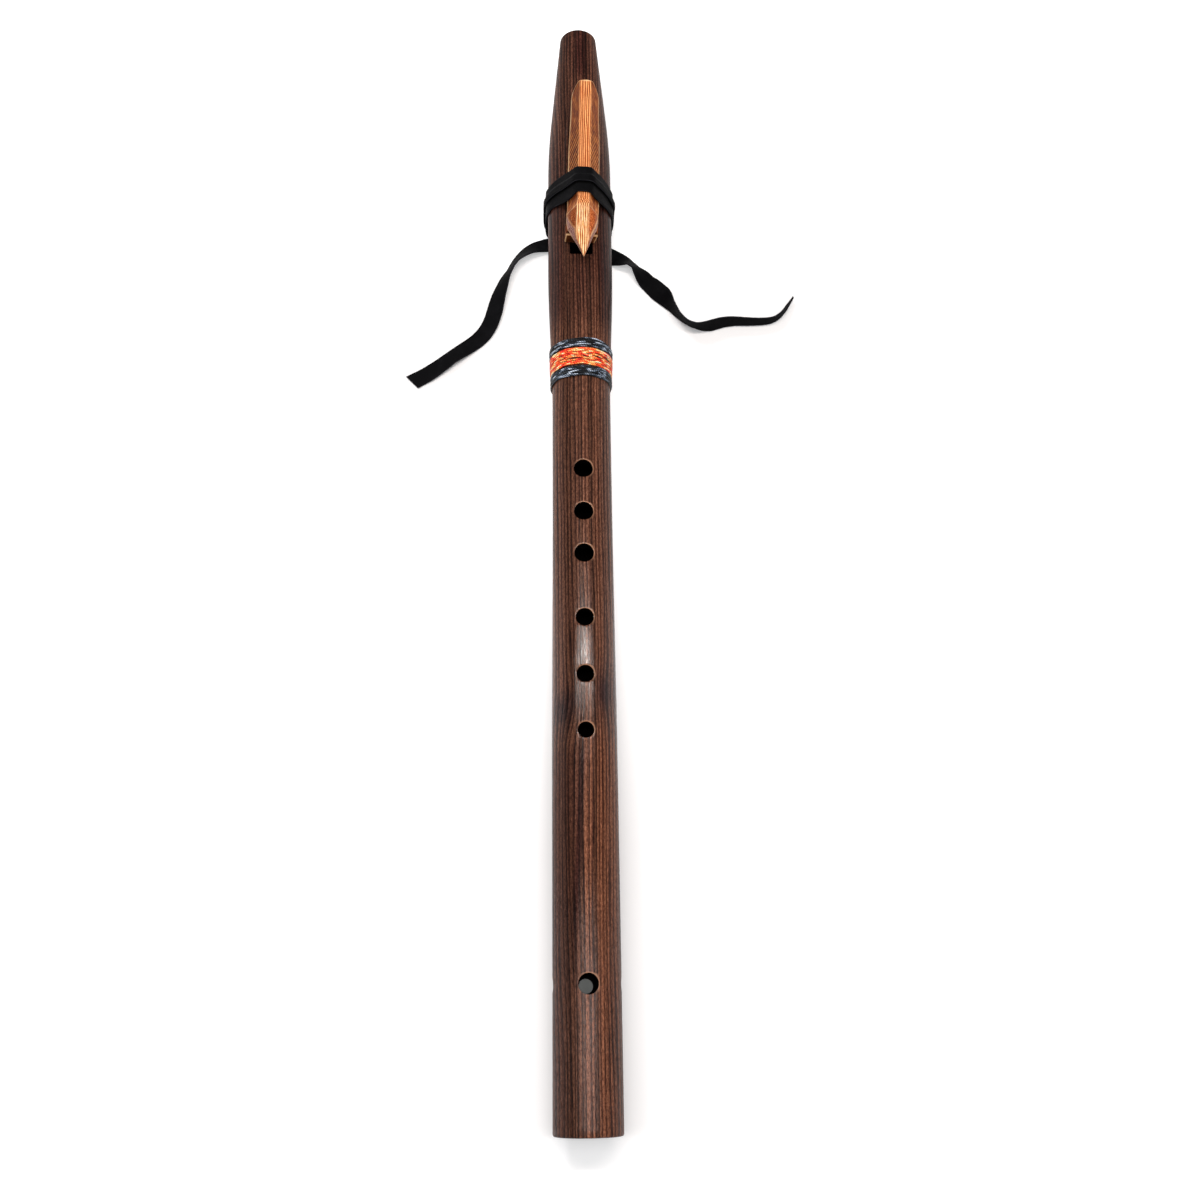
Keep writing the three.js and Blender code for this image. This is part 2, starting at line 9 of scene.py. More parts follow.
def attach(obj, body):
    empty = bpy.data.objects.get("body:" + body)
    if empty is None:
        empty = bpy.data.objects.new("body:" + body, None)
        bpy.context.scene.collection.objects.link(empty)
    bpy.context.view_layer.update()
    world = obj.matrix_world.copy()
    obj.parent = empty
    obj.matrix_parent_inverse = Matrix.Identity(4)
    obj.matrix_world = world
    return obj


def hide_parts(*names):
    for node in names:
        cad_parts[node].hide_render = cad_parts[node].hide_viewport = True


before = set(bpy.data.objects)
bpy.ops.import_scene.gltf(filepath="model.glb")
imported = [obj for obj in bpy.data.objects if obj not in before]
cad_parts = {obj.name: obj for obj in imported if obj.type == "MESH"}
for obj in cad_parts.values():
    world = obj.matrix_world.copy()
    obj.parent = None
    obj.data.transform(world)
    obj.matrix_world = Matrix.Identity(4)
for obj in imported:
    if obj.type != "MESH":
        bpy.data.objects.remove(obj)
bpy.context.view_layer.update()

# Sizes in millimetres, in the flute's own frame: x across, s along from the foot, z up from the bore's axis
CHAMBER = 450.3
HOLE_END = CHAMBER + 7.3
DIVIDER_START = HOLE_END + 2.4
DIVIDER_END = DIVIDER_START + 12
MOUTH_HOLE = DIVIDER_END + 103
LENGTH = MOUTH_HOLE + 34
EXIT_START = DIVIDER_END + 2
EXIT_END = EXIT_START + 8
HALF_WINDOW = 6.25
BORE, MOUTH_BORE = 11.0, 4.5
FOOT_R, WAIST_R, NEST_R, MOUTH_R = 16.1, 15.6, 17.9, 10.6
FOOT_BARREL, FOOT_TAPER = 180, 120
SHOULDER, SHOULDER_LENGTH = CHAMBER + 57.7, 40.0
SWELL = 85.0
SWELL_START = CHAMBER - 3.3 - SWELL
NEST_Z, DECK_Z = 15.5, 14.5
NEST_START, NEST_RAMP = CHAMBER - 35, 18.0
RAMP_START = NEST_START - NEST_RAMP
ROUNDING = 1.0
HOLES = [(CHAMBER * (1 - share), 4.9 * size) for share, size in
         zip((0.287, 0.34, 0.391, 0.467, 0.532, 0.5945), (1, 1, 1, 0.92, 0.88, 0.81))]
TUNING, TUNING_R, SIDE_TUNING_R = 65.0, 4.7, 3.5
SEAT = 0.3
THONG_WIDTH, THONG_THICKNESS = 10.0, 1.0
KNOT_PLACE = CHAMBER + 27.7
KNOT_DROP = NEST_R + SEAT + THONG_THICKNESS + SEAT + 3.2
TILT = math.atan((KNOT_DROP - FOOT_R) / (KNOT_PLACE - ROUNDING))
LIFT = FOOT_R * math.cos(TILT) - ROUNDING * math.sin(TILT)
MIDDLE = (LENGTH * math.cos(TILT) + (MOUTH_R - FOOT_R) * math.sin(TILT)) / 2
BLOCK_FRONT = HOLE_END - 0.5
BLOCK_BOTTOM = NEST_Z + SEAT
BLOCK_OFFSET = 0.55
BLOCK_YAW = math.radians(1.4)


def to_world(points):
    """Flute millimetres to the frame's metres."""
    x, s, z = np.asarray(points, float).reshape(-1, 3).T
    c, t = math.cos(TILT), math.sin(TILT)
    return np.stack([x, s * c - z * t - MIDDLE, s * t + z * c + LIFT], 1) / 1000


def on_table(points):
    """Millimetres in the frame's own axes to its metres."""
    return points / 1000


def smooth(value):
    """Smooth step from 0 at 0 to 1 at 1."""
    t = np.clip(value, 0, 1)
    return t * t * (3 - 2 * t)


def step(value, start, length):
    """Smooth step that begins at start; with a negative length it rises as the value falls."""
    return smooth((value - start) / length)


def hump(value, middle, width):
    return np.exp(-((value - middle) / width) ** 2)


def unit(v):
    return np.asarray(v, float) / np.linalg.norm(v, axis=-1, keepdims=True)


def wander(x, y=0.0, z=0.0, seed=0.0):
    """Smooth seeded noise from -1 to 1."""
    return noise.noise(Vector((x + seed * 17.3, y - seed * 5.1, z + seed * 9.7)))


def body_radius(place):
    place = np.asarray(place, float)
    foot = 1 - step(place, FOOT_BARREL, FOOT_TAPER)
    swell = step(place, SWELL_START, SWELL)
    beyond = np.maximum(place - SHOULDER, 0)
    curved = np.minimum(beyond, SHOULDER_LENGTH)
    full = SHOULDER_LENGTH / 2 + LENGTH - SHOULDER - SHOULDER_LENGTH
    drop = (curved ** 2 / SHOULDER_LENGTH / 2 + beyond - curved) / full
    return WAIST_R + (FOOT_R - WAIST_R) * foot + (NEST_R - WAIST_R) * swell - (NEST_R - MOUTH_R) * drop


def add_object(name, data):
    made = bpy.data.objects.new(name, data)
    bpy.context.scene.collection.objects.link(made)
    return made


# Camera: the flute's axis and the way down from it, as seen by the camera (right, up, towards it)
PHOTO_SIZE = 1200
SEEN_AXIS = (-0.01363, 0.94545, -0.32549)
SEEN_DOWN = (-0.01031, -0.34419, -1.0)
CAMERA_DISTANCE, CAMERA_PLACE = 625, 39.3
CAMERA_SIDE = math.radians(2.6)
CAMERA_LENS, CAMERA_SENSOR = 38.7, 36
CAMERA_SHIFT = (-0.9, -0.7)


def make_camera():
    along = unit(SEEN_AXIS)
    down = np.array(SEEN_DOWN)
    level = -unit(down - down.dot(along) * along)
    c, s = math.cos(CAMERA_SIDE), math.sin(CAMERA_SIDE)
    up = c * level + s * np.cross(along, level)
    axes = Matrix([v.tolist() for v in (np.cross(along, up), along, up)])
    spot = to_world([(-CAMERA_DISTANCE * s, CAMERA_PLACE, CAMERA_DISTANCE * c)])[0]
    data = bpy.data.cameras.new("camera")
    data.lens = CAMERA_LENS
    data.sensor_width = CAMERA_SENSOR
    data.clip_start = 0.02
    data.shift_x, data.shift_y = (shift / PHOTO_SIZE for shift in CAMERA_SHIFT)
    camera = add_object("camera", data)
    camera.matrix_world = Matrix.Translation(Vector(spot)) @ (Matrix.Rotation(TILT, 3, "X") @ axes).to_4x4()
    bpy.context.scene.camera = camera


make_camera()


# Shader nodes
WHITE = (1, 1, 1, 1)


def srgb(r, g, b):
    return tuple(((c / 255 + 0.055) / 1.055) ** 2.4 if c > 10 else c / 255 / 12.92 for c in (r, g, b)) + (1.0,)


class Value:
    """An output of a shader node, with which sums are written plainly."""

    def __init__(self, shader, socket):
        self.shader = shader
        self.socket = socket

    def __add__(self, other):
        return self.shader.math("ADD", self, other)

    def __sub__(self, other):
        return self.shader.math("SUBTRACT", self, other)

    def __mul__(self, other):
        return self.shader.math("MULTIPLY", self, other)

    def __abs__(self):
        return self.shader.math("ABSOLUTE", self)


class Shader:
    """The nodes of a material or a world."""

    def __init__(self, owner):
        owner.use_nodes = True
        self.owner = owner
        self.tree = owner.node_tree
        self.tree.nodes.clear()

    def node(self, kind, inputs, **settings):
        """A new node, whose inputs go by number or name."""
        made = self.tree.nodes.new("ShaderNode" + kind)
        for key, setting in settings.items():
            setattr(made, key, setting)
        for key, given in inputs.items():
            if isinstance(given, Value):
                self.tree.links.new(given.socket, made.inputs[key])
            else:
                made.inputs[key].default_value = given
        return made

    def value(self, kind, inputs, output=0, **settings):
        """One output of a new node."""
        return Value(self, self.node(kind, inputs, **settings).outputs[output])

    def math(self, kind, *values):
        return self.value("Math", dict(enumerate(values)), operation=kind)

    def parts(self, vector):
        return [Value(self, output) for output in self.node("SeparateXYZ", {0: vector}).outputs]

    def millimetres(self):
        spot = self.value("TexCoord", {}, "Object")
        return self.parts(self.value("VectorMath", {0: spot, "Scale": 1000}, operation="SCALE"))

    def stretched(self, spot, scales, shift=0.0):
        """A vector of three values, each times its scale, with the first one shifted."""
        x, y, z = (value * scale for value, scale in zip(spot, scales))
        return self.value("CombineXYZ", {0: x + shift, 1: y, 2: z})

    def noise(self, spot, scales, shift=0.0, detail=2.0, roughness=0.5):
        inputs = {"Vector": self.stretched(spot, scales, shift), "Scale": 1, "Detail": detail,
                  "Roughness": roughness}
        return self.value("TexNoise", inputs)

    def mark(self, name):
        """One of the values that the mesh keeps for each of its points."""
        return self.value("Attribute", {}, "Fac", attribute_name=name)

    def remap(self, value, low, high, to_low=0.0, to_high=1.0, kind="SMOOTHSTEP"):
        inputs = {"Value": value, "From Min": low, "From Max": high, "To Min": to_low, "To Max": to_high}
        return self.value("MapRange", inputs, interpolation_type=kind)

    def ramp(self, value, *stops):
        """A colour between stops of place, red, green and blue."""
        made = self.node("ValToRGB", {0: value})
        elements = made.color_ramp.elements
        while len(elements) < len(stops):
            elements.new(0.5)
        for element, (place, *color) in zip(elements, stops):
            element.position = place
            element.color = srgb(*color)
        return Value(self, made.outputs[0])

    def mix(self, factor, a, b, kind="MIX"):
        return self.value("Mix", {0: factor, 6: a, 7: b}, 2, data_type="RGBA", blend_type=kind)

    def times(self, color, shade):
        """A colour times a plain value."""
        return self.mix(1.0, color, shade, "MULTIPLY")

    def tint(self, factor, color, *by):
        """Where factor is 1, the colour's red, green and blue are multiplied."""
        return self.mix(factor, color, self.mix(1.0, color, by + (1,), "MULTIPLY"))

    def paint(self, factor, color, *over):
        return self.mix(factor, color, srgb(*over))

    def bump(self, height, distance):
        return self.value("Bump", {"Height": height, "Strength": 1, "Distance": distance / 1000})

    def seen_directly(self):
        """1 for rays from the camera, from reflections and through clear things, else 0."""
        camera, glossy, clear = (self.value("LightPath", {}, f"Is {ray} Ray")
                                 for ray in ("Camera", "Glossy", "Transmission"))
        return self.math("MAXIMUM", self.math("MAXIMUM", camera, glossy), clear)

    def finish(self, kind, inputs, output="Material"):
        """The last shader, linked to the output; gives back the material or the world."""
        self.node("Output" + output, {"Surface": self.value(kind, inputs)})
        return self.owner


def body_wood(name, shift):
    """Dark heat-treated cedar: growth rings as planes across x, so straight lines run along the flute."""
    w = Shader(bpy.data.materials.new(name))
    x, y, z = w.millimetres()
    slow = w.noise((x, y, z), (0.03, 0.006, 0.035), shift, 1)
    u = x + w.mark("bend") + slow * 4
    drift = w.noise((u, y, z), (0.16, 0.0035, 0.02), shift + 3)
    ripple = w.noise((u, y, z), (0.5, 0.012, 0.1), shift + 9)
    rings = u * 0.58 + drift * 1.6 + ripple * 1.1
    own = w.value("TexWhiteNoise", {"W": w.math("FLOOR", rings) + shift}, noise_dimensions="1D")
    fine = w.noise((u, y, z), (2.6, 0.02, 0.5), shift + 14, 3, 0.62)
    fibre = w.noise((u, y, z), (6.5, 0.3, 6.5), shift + 21, 3, 0.6)
    pore = w.remap(w.noise((u, y, z), (4.2, 0.7, 4.2), shift + 30), 0.58, 0.70)
    fleck = w.noise((u, y, z), (1.7, 0.7, 1.7), shift + 50, 3, 0.7)
    color = w.ramp((fine - 0.5) * 1.3 + w.math("FRACT", rings),
                   (0.0, 50, 27, 20), (0.12, 118, 76, 58), (0.40, 128, 84, 64), (0.66, 98, 60, 45),
                   (0.88, 62, 35, 27), (0.97, 44, 23, 18))
    color = w.times(color, w.remap(own, 0, 1, 0.36, 0.88, "LINEAR"))
    color = w.times(color, w.remap(fibre, 0.3, 0.7, 0.48, 1.55))
    color = w.times(color, w.remap(fleck, 0.3, 0.7, 0.54, 1.46))
    color = w.tint(w.mark("warm"), color, 1.24, 1.12, 0.98)
    color = w.paint(pore * 0.45, color, 34, 18, 16)
    color = w.tint(w.mark("tone"), color, 0.34, 0.27, 0.33)
    color = w.tint(w.mark("smoke"), color, 0.36, 0.42, 0.66)
    # Pale wear round the holes' rims, with a painted highlight at their upper right
    color = w.paint(w.mark("worn") * 0.8, color, 190, 140, 108)
    # Painted shade: the holes' walls and everything below the outer surface are near black
    color = w.paint(w.mark("inside"), color, 9, 6, 6)
    grain = w.bump(fine * 0.8 + fibre * 0.55 - pore * 0.5, 0.06)
    film = w.bump(fibre + fleck * 0.8, 0.022)
    gloss = w.mark("polish") * w.remap(fibre, 0.35, 0.62, 0.1, 0.56)
    blur = w.mark("satin") * 0.2 + w.remap(fleck * 0.5 + fine * 0.5, 0.38, 0.60, 0.07, 0.24)
    return w.finish("BsdfPrincipled", {
        "Base Color": color, "Roughness": 0.6, "Normal": grain, "Specular IOR Level": 0.04, "Coat Weight": gloss,
        "Coat IOR": 1.38, "Coat Roughness": blur, "Coat Normal": film})


def block_wood():
    """Orange cedar: the sanded strip is bright, partly as painted light; the sawn facets are brown, with painted
    shade at the left and painted light at the right; pale edges are wear and painted highlight.
    """
    w = Shader(bpy.data.materials.new("block_wood"))
    spot = x, y, z = w.millimetres()
    along, strip = w.mark("along"), w.mark("strip")
    u = w.noise(spot, (0.3, 0.03, 0.2)) * 1.6 + x + w.mark("swirl")
    wave = w.math("SINE", u * 6) * 0.5 + 0.5
    fibre = w.noise((u, y, z), (3.6, 0.16, 2.0), 5, 4, 0.65)
    streak = w.noise((u, y, z), (1.3, 0.05, 1.0), 8)
    mottle = w.noise(spot, (0.5, 0.16, 0.5), 11, 4, 0.65)
    cross = w.noise(spot, (2.2, 1.5, 2.2), 17, 3)
    shade = wave * 0.42 + streak * 0.28 + fibre * 0.30
    bright = w.ramp(shade, (0.27, 96, 36, 12), (0.42, 162, 74, 31), (0.56, 196, 104, 52), (0.69, 250, 184, 120))
    pale = w.ramp(shade, (0.29, 124, 48, 14), (0.42, 192, 94, 36), (0.55, 228, 140, 70), (0.63, 255, 208, 140),
                  (0.72, 255, 244, 200))
    bright = w.mix(w.mark("head"), bright, pale)
    bright = w.tint(w.remap(cross, 0.54, 0.68, 0.0, 0.7), bright, 0.62, 0.48, 0.42)
    # Rings meet the slanted facets as fine lines that rise away from the strip, in the middle of the block
    slanted = abs(x - (BLOCK_OFFSET + 0.9)) * 1.8 + along
    grain = w.math("SINE", slanted * 1.9 + mottle * 5) * 0.5
    lined = w.remap(along, 52, 80, 0.3, 0.04) * w.remap(along, 22, 36, 0.15, 1.0) * w.mark("facet")
    brown = w.ramp(mottle * 0.5 + fibre * 0.3 + grain * lined,
                   (0.20, 48, 18, 6), (0.34, 100, 44, 18), (0.44, 142, 76, 36), (0.58, 204, 130, 68))
    # Painted shade and light: the facets darker at the left and lighter at the right
    brown = w.times(brown, w.remap(x, -1.0, 2.5, 0.70, 1.12))
    brown = w.tint(w.mark("tan"), brown, 1.7, 2.0, 2.4)
    rust = w.ramp(cross * 0.5 + fibre * 0.5,
                  (0.36, 60, 22, 9), (0.46, 124, 58, 28), (0.56, 176, 94, 50), (0.68, 216, 142, 92))
    # Painted shade and light: the scoops darker at the left and lighter at the right
    color = w.mix(w.mark("scoop"), brown, w.times(rust, w.remap(x, -1.0, 2.5, 0.82, 1.3)))
    grey = w.ramp(cross * 0.4 + fibre * 0.6, (0.38, 74, 46, 42), (0.5, 130, 92, 84), (0.6, 176, 132, 120))
    # Painted shade and light: the lower facets darker at the left and lighter at the right
    color = w.mix(w.mark("under"), color, w.times(grey, w.remap(x, -1.0, 2.5, 1.0, 1.5)))
    # The sanded strip is lighter; part of its brightness is painted light on the face that looks up, and part of
    # the facets' darker brown is painted shade
    color = w.mix(strip, color, bright)
    # Painted shade: the base's front face, the gap under the head and the left scoop; the beak's tip is darker
    # too
    color = w.paint(w.mark("dark"), color, 52, 24, 12)
    # Pale edges: wear, and painted highlight where the edges catch the light
    color = w.paint(w.mark("worn") * 0.9, color, 252, 208, 156)
    return w.finish("BsdfPrincipled", {
        "Base Color": color, "Roughness": w.remap(fibre, 0.3, 0.7, 0.42, 0.6),
        "Normal": w.bump(fibre + cross * 0.5, 0.08), "Specular IOR Level": strip * 0.08 + 0.04})


def leather(name):
    """Black buckskin: fine pebbled grain, a little grey where it is rubbed."""
    w = Shader(bpy.data.materials.new(name))
    spot = w.millimetres()
    pebble = w.value("TexVoronoi", {"Vector": w.stretched(spot, (1, 1, 1)), "Scale": 2.4}, feature="F1")
    fuzz = w.noise(spot, (3.5, 3.5, 3.5), 0, 4, 0.7)
    rub = w.remap(w.noise(spot, (0.16, 0.16, 0.16), 0, 3, 0.6), 0.42, 0.72, 0.0, 0.5)
    color = w.mix(fuzz * 0.8, srgb(3, 3, 4), srgb(15, 15, 17))
    color = w.paint(rub * 0.5, color, 24, 24, 27)
    # Paler edges: wear, and painted highlight along them
    color = w.paint(w.mark("worn") * 0.6, color, 64, 64, 70)
    # Painted shadow: near black where the lower turn lies under the upper turn's edge
    color = w.paint(w.mark("deep"), color, 3, 3, 3)
    return w.finish("BsdfPrincipled", {
        "Base Color": color, "Roughness": w.remap(fuzz, 0.3, 0.7, 0.55, 0.75),
        "Normal": w.bump(pebble * 0.5 + fuzz * 0.8, 0.06), "Specular IOR Level": 0.03})


def thread(name, gloss, dash, *stops):
    """Waxed thread: its dye changes along its length, and it is made of twisted plies."""
    w = Shader(bpy.data.materials.new(name))
    along, strand, around = w.mark("along"), w.mark("strand"), w.mark("around")
    dye = w.noise((along, strand, strand), (dash, 7.31, 0.0), 0, 2.5, 0.6)
    ply = w.math("SINE", along * 5 + around * 12.566)
    color = w.ramp(ply * 0.03 + dye, *stops)
    # Painted shade in the grooves between the plies
    color = w.times(color, w.remap(ply, -1.0, 0.2, 0.5, 1.0))
    # Painted shade and light from the mesh: lower layer and strands' sides darker, top layer lighter
    color = w.times(color, w.mark("shade"))
    return w.finish("BsdfPrincipled", {
        "Base Color": color, "Roughness": gloss, "Normal": w.bump(ply, 0.05), "Specular IOR Level": 0.25})


WOOD_TOP = body_wood("body_wood_top", 0.0)
WOOD_BOTTOM = body_wood("body_wood_bottom", 40.0)
WOOD_BLOCK = block_wood()
LEATHER = leather("strap_leather")
DARK_THREAD = thread("dark_thread", 0.34, 0.1, (0.45, 4, 6, 9), (0.52, 22, 27, 36), (0.56, 104, 120, 142),
                     (0.62, 214, 226, 242))
ORANGE_THREAD = thread("orange_thread", 0.36, 0.2, (0.34, 176, 8, 10), (0.43, 244, 40, 28), (0.51, 255, 92, 40),
                       (0.56, 255, 164, 76), (0.61, 255, 232, 160), (0.70, 255, 250, 224))


# Mesh building
class Skin:
    """Points and faces of one surface in the making."""

    def __init__(self):
        self.points = []
        self.faces = []

    def add(self, points):
        start = len(self.points)
        self.points.extend(tuple(float(c) for c in p) for p in points)
        return list(range(start, len(self.points)))

    def band(self, a, b, closed=True, skip=()):
        """Faces between two rows of points, apart from those in skip."""
        for k in range(len(a) if closed else len(a) - 1):
            n = (k + 1) % len(a)
            corners = tuple(dict.fromkeys((a[k], a[n], b[n], b[k])))
            if k not in skip and len(corners) > 2:
                self.faces.append(corners)

    def grow(self, ring, points):
        """A band from a ring to new points, which make the next ring."""
        made = self.add(points)
        self.band(ring, made)
        return made

    def fan(self, ring, centre):
        middle = self.add([centre])[0]
        for k in range(len(ring)):
            self.faces.append((ring[k], ring[(k + 1) % len(ring)], middle))

    def stack(self, rings):
        rows = [self.add(ring) for ring in rings]
        for a, b in zip(rows, rows[1:]):
            self.band(a, b)
        return rows

    def stack_with_ends(self, rings):
        rows = self.stack(rings)
        self.faces += [tuple(rows[0]), tuple(rows[-1])]


def bmesh_of(skin, merge=True):
    """A bmesh with its normals out; without the merge its points keep their order."""
    bm = bmesh.new()
    made = [bm.verts.new(p) for p in skin.points]
    for face in skin.faces:
        bm.faces.new([made[i] for i in face])
    if merge:
        bmesh.ops.remove_doubles(bm, verts=bm.verts, dist=1e-5)
    bmesh.ops.recalc_face_normals(bm, faces=bm.faces)
    return bm


def finish_piece(name, bm, material, body, node, marks, angle, place=to_world):
    """A bmesh in millimetres becomes a piece; marks(points) gives the named values of its points."""
    points = np.array([v.co[:] for v in bm.verts])
    for v, p in zip(bm.verts, place(points)):
        v.co = p
    mesh = bpy.data.meshes.new(name)
    bm.to_mesh(mesh)
    bm.free()
    for key, values in marks(points).items():
        layer = mesh.attributes.new(key, "FLOAT", "POINT")
        layer.data.foreach_set("value", np.array(values, np.float32))
    mesh.materials.append(material)
    mesh.shade_smooth()
    mesh.set_sharp_from_angle(angle=math.radians(angle))
    piece = add_object(name, mesh)
    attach(piece, body)
    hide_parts(node)
    return piece


# Free ends of the strap: x, y and the twist of the thong in degrees, as they lie on the table
LEFT_ROUTE = [
    (-10.3, 176.6, 0), (-14.5, 176.6, 4), (-18.5, 176, 8), (-23, 174.7, 16), (-27.6, 172.3, 28),
    (-32.2, 168.2, 42), (-36.4, 163, 56), (-39, 158.2, 62), (-42.2, 152, 52), (-44.2, 146, 40),
    (-45.9, 140.5, 30), (-47.1, 135.5, 20), (-48.3, 130, 12), (-49.8, 124.9, 8), (-52, 119.8, 4),
    (-55.2, 115, 0), (-59.2, 110.9, 0), (-63.6, 107.2, 4), (-68, 103.7, 10), (-72.3, 100.2, 14),
    (-76.6, 96.5, 10), (-81, 93, 6), (-85.4, 89.8, 3), (-89.6, 87.2, 0),
    (-93.4, 85, 0)]
RIGHT_ROUTE = [
    (10.3, 171.3, 0), (14, 171.1, 0), (18, 170, 0), (22, 168.1, -4), (26, 165.9, -20), (30, 163.3, -44),
    (33, 160.4, -48), (37.3, 155.8, -14), (41.8, 150.8, 8), (46.2, 145, 24), (49.8, 140, 50),
    (53.3, 134.4, 80), (57.4, 128.2, 98), (61.9, 124, 106), (66.6, 122, 104), (71.4, 121.7, 88),
    (76, 122.6, 76), (80.6, 124.2, 76), (85.2, 125.2, 80), (90, 125.6, 84), (94.6, 125.7, 86),
    (99.2, 125.8, 86), (103.8, 126.1, 86), (108.4, 126.7, 86), (112.6, 128.2, 86), (116, 130.8, 84),
    (118.8, 134.2, 82), (121.3, 138, 80), (124.6, 143.4, 78)]
LEFT_WIDTH_SHARES = (1, 1, 0.92, 0.97)
RIGHT_WIDTH_SHARES = (1.06, 1.08, 0.85, 0.45)
STEPS_PER_POINT, POINT_SPACING = 5, 4.6
EXIT_HEIGHT, LANDED_SHARE = 2.4, 0.12
TABLE_GAP, LOWEST = 0.1, 0.03


def share_at(shares, along):
    return np.interp(along * (len(shares) - 1), range(len(shares)), shares)


def route_point(route, t):
    """Point on a Catmull-Rom line through the route's x and y, with its direction."""
    spot = t * (len(route) - 1)
    k = min(int(spot), len(route) - 2)
    f = spot - k
    p = [np.array(route[min(max(i, 0), len(route) - 1)][:2], float) for i in range(k - 1, k + 3)]
    if k == 0:
        p[0] = 2 * p[1] - p[2]
    if k == len(route) - 2:
        p[3] = 2 * p[2] - p[1]
    a, b, c = 2 * p[0] - 5 * p[1] + 4 * p[2] - p[3], p[2] - p[0], -p[0] + 3 * p[1] - 3 * p[2] + p[3]
    here = p[1] + 0.5 * (b * f + a * f * f + c * f ** 3)
    ahead = 0.5 * (b + 2 * a * f + 3 * c * f * f)
    return here, unit(ahead)


def thong_section(width, thickness, curl, steps=9):
    """Outline of a flat thong as (across, up) points, thinner and rounded at its edges."""
    half, ease = width / 2, min(0.45, width / 6)
    upper = [(a, thickness / 2 + curl * (a / half) ** 2) for a in np.linspace(ease - half, half - ease, steps)]
    lower = [(a, h - thickness) for a, h in upper]
    edge = ((half - ease / 4, -0.32), (half, 0), (half - ease / 4, 0.32))
    right = [(a, curl + thickness * share) for a, share in edge]
    left = [(-a, h) for a, h in right[::-1]]
    return lower + right + upper[::-1] + left


def make_tail(name, route, width_shares, node, seed, slant, pointed):
    """A limp flat thong on the table; its cut end is slanted and may run out to a point."""
    twists = [row[2] for row in route]
    rings, path, worn = [], [], []
    steps = (len(route) - 1) * STEPS_PER_POINT
    for t in np.arange(steps + 1) / steps:
        here, way = route_point(route, t)
        twist = math.radians(share_at(twists, t))
        width = THONG_WIDTH * share_at(width_shares, t) * (1 + 0.03 * wander(t * 14, seed))
        lay = TABLE_GAP + abs(math.sin(twist)) * width / 2 + abs(math.cos(twist)) * THONG_THICKNESS / 2
        landed = smooth(t / LANDED_SHARE)
        middle = np.array([*here, max(lay, EXIT_HEIGHT * (1 - landed) + lay * landed)])
        ahead = np.array([*way, 0.0])
        flat = np.array([-way[1], way[0], 0.0])
        across = flat * math.cos(twist) + np.cross(ahead, flat) * math.sin(twist)
        up = np.cross(ahead, across)
        left_over = (1 - t) * len(route) * POINT_SPACING
        if pointed:
            width *= min(1.0, 0.35 + left_over / 9)
        curl = 0.12 * wander(t * 9, seed + 2)
        ring = []
        for a, b in thong_section(width, THONG_THICKNESS * 0.94, curl):
            rough = 0.12 * wander(t * 40, b, seed + 5)
            ripple = 0.05 * wander(a * 0.6, t * 60, seed + 4)
            push = slant * a * max(0.0, 1 - left_over / 8)
            ring.append(middle + across * (a + rough) + up * (b + ripple) + ahead * push)
            # The thong's edges are paler: wear and painted highlight
            worn.append(0.5 * (abs(a) > width / 2 - 0.3))
        lift = max(0.0, LOWEST - min(p[2] for p in ring))
        rings.append(np.array(ring) + (0, 0, lift))
        path.append(middle / 1000)
    skin = Skin()
    skin.stack_with_ends(rings)
    piece = finish_piece(name, bmesh_of(skin, merge=False), LEATHER, "flute", node,
                         lambda p: {"worn": worn}, 50, on_table)


make_tail("left_thong_end", LEFT_ROUTE, LEFT_WIDTH_SHARES, "strap_left_tail", 1.0, -0.25, False)
make_tail("right_thong_end", RIGHT_ROUTE, RIGHT_WIDTH_SHARES, "strap_right_tail", 2.0, 0.2, True)


# Body: one closed surface of rows and columns, opened where holes are, then cut in two along the glue line
def divided(edges, counts):
    """The edges, with evenly spaced places between them."""
    places = [edges[:1]]
    for low, high, count in zip(edges, edges[1:], counts):
        places.append(np.linspace(low, high, count + 1)[1:])
    return np.concatenate(places)


NEST_ANGLE = round(math.degrees(math.atan(HALF_WINDOW / NEST_Z)), 2)
BORE_ANGLE = round(math.degrees(math.asin(HALF_WINDOW / BORE)), 2)
SEAM_ANGLE = 0.8
HALF_ROUND = divided([0, NEST_ANGLE, 33, 90 - SEAM_ANGLE, 90, 90 + SEAM_ANGLE, 180], [10, 8, 24, 1, 1, 30])
ANGLES = np.concatenate([-HALF_ROUND[:0:-1], HALF_ROUND[:-1]])
COLUMNS = len(ANGLES)
THETA = np.radians(ANGLES)
# The bore's columns are turned, so that they end at the holes' windows
INNER_THETA = np.radians(np.sign(ANGLES) * np.interp(
    np.abs(ANGLES), [0, NEST_ANGLE, 33, 68, 90, 112, 162, 180], [0, BORE_ANGLE, 42, 61, 90, 119, 154, 180]))
GROOVE = np.where(np.abs(np.abs(ANGLES) - 90) < 0.1, 0.12, 0.0)
SEAM = 0.05
WINDOW, RIM, CREASE = 2.2, 0.18, 0.7
TOP_HOLE_ANGLE, SIDE_HOLE_ANGLE, BACK_HOLE_ANGLE = 26.2, 20, 18
HOLE_SPACING, NEST_SPACING, BODY_SPACING = 1.2, 1.3, 2.8
FINE_START, FINE_END = 390, 485
UNDERCUT_START, UNDERCUT_EDGE = 440, 448.4


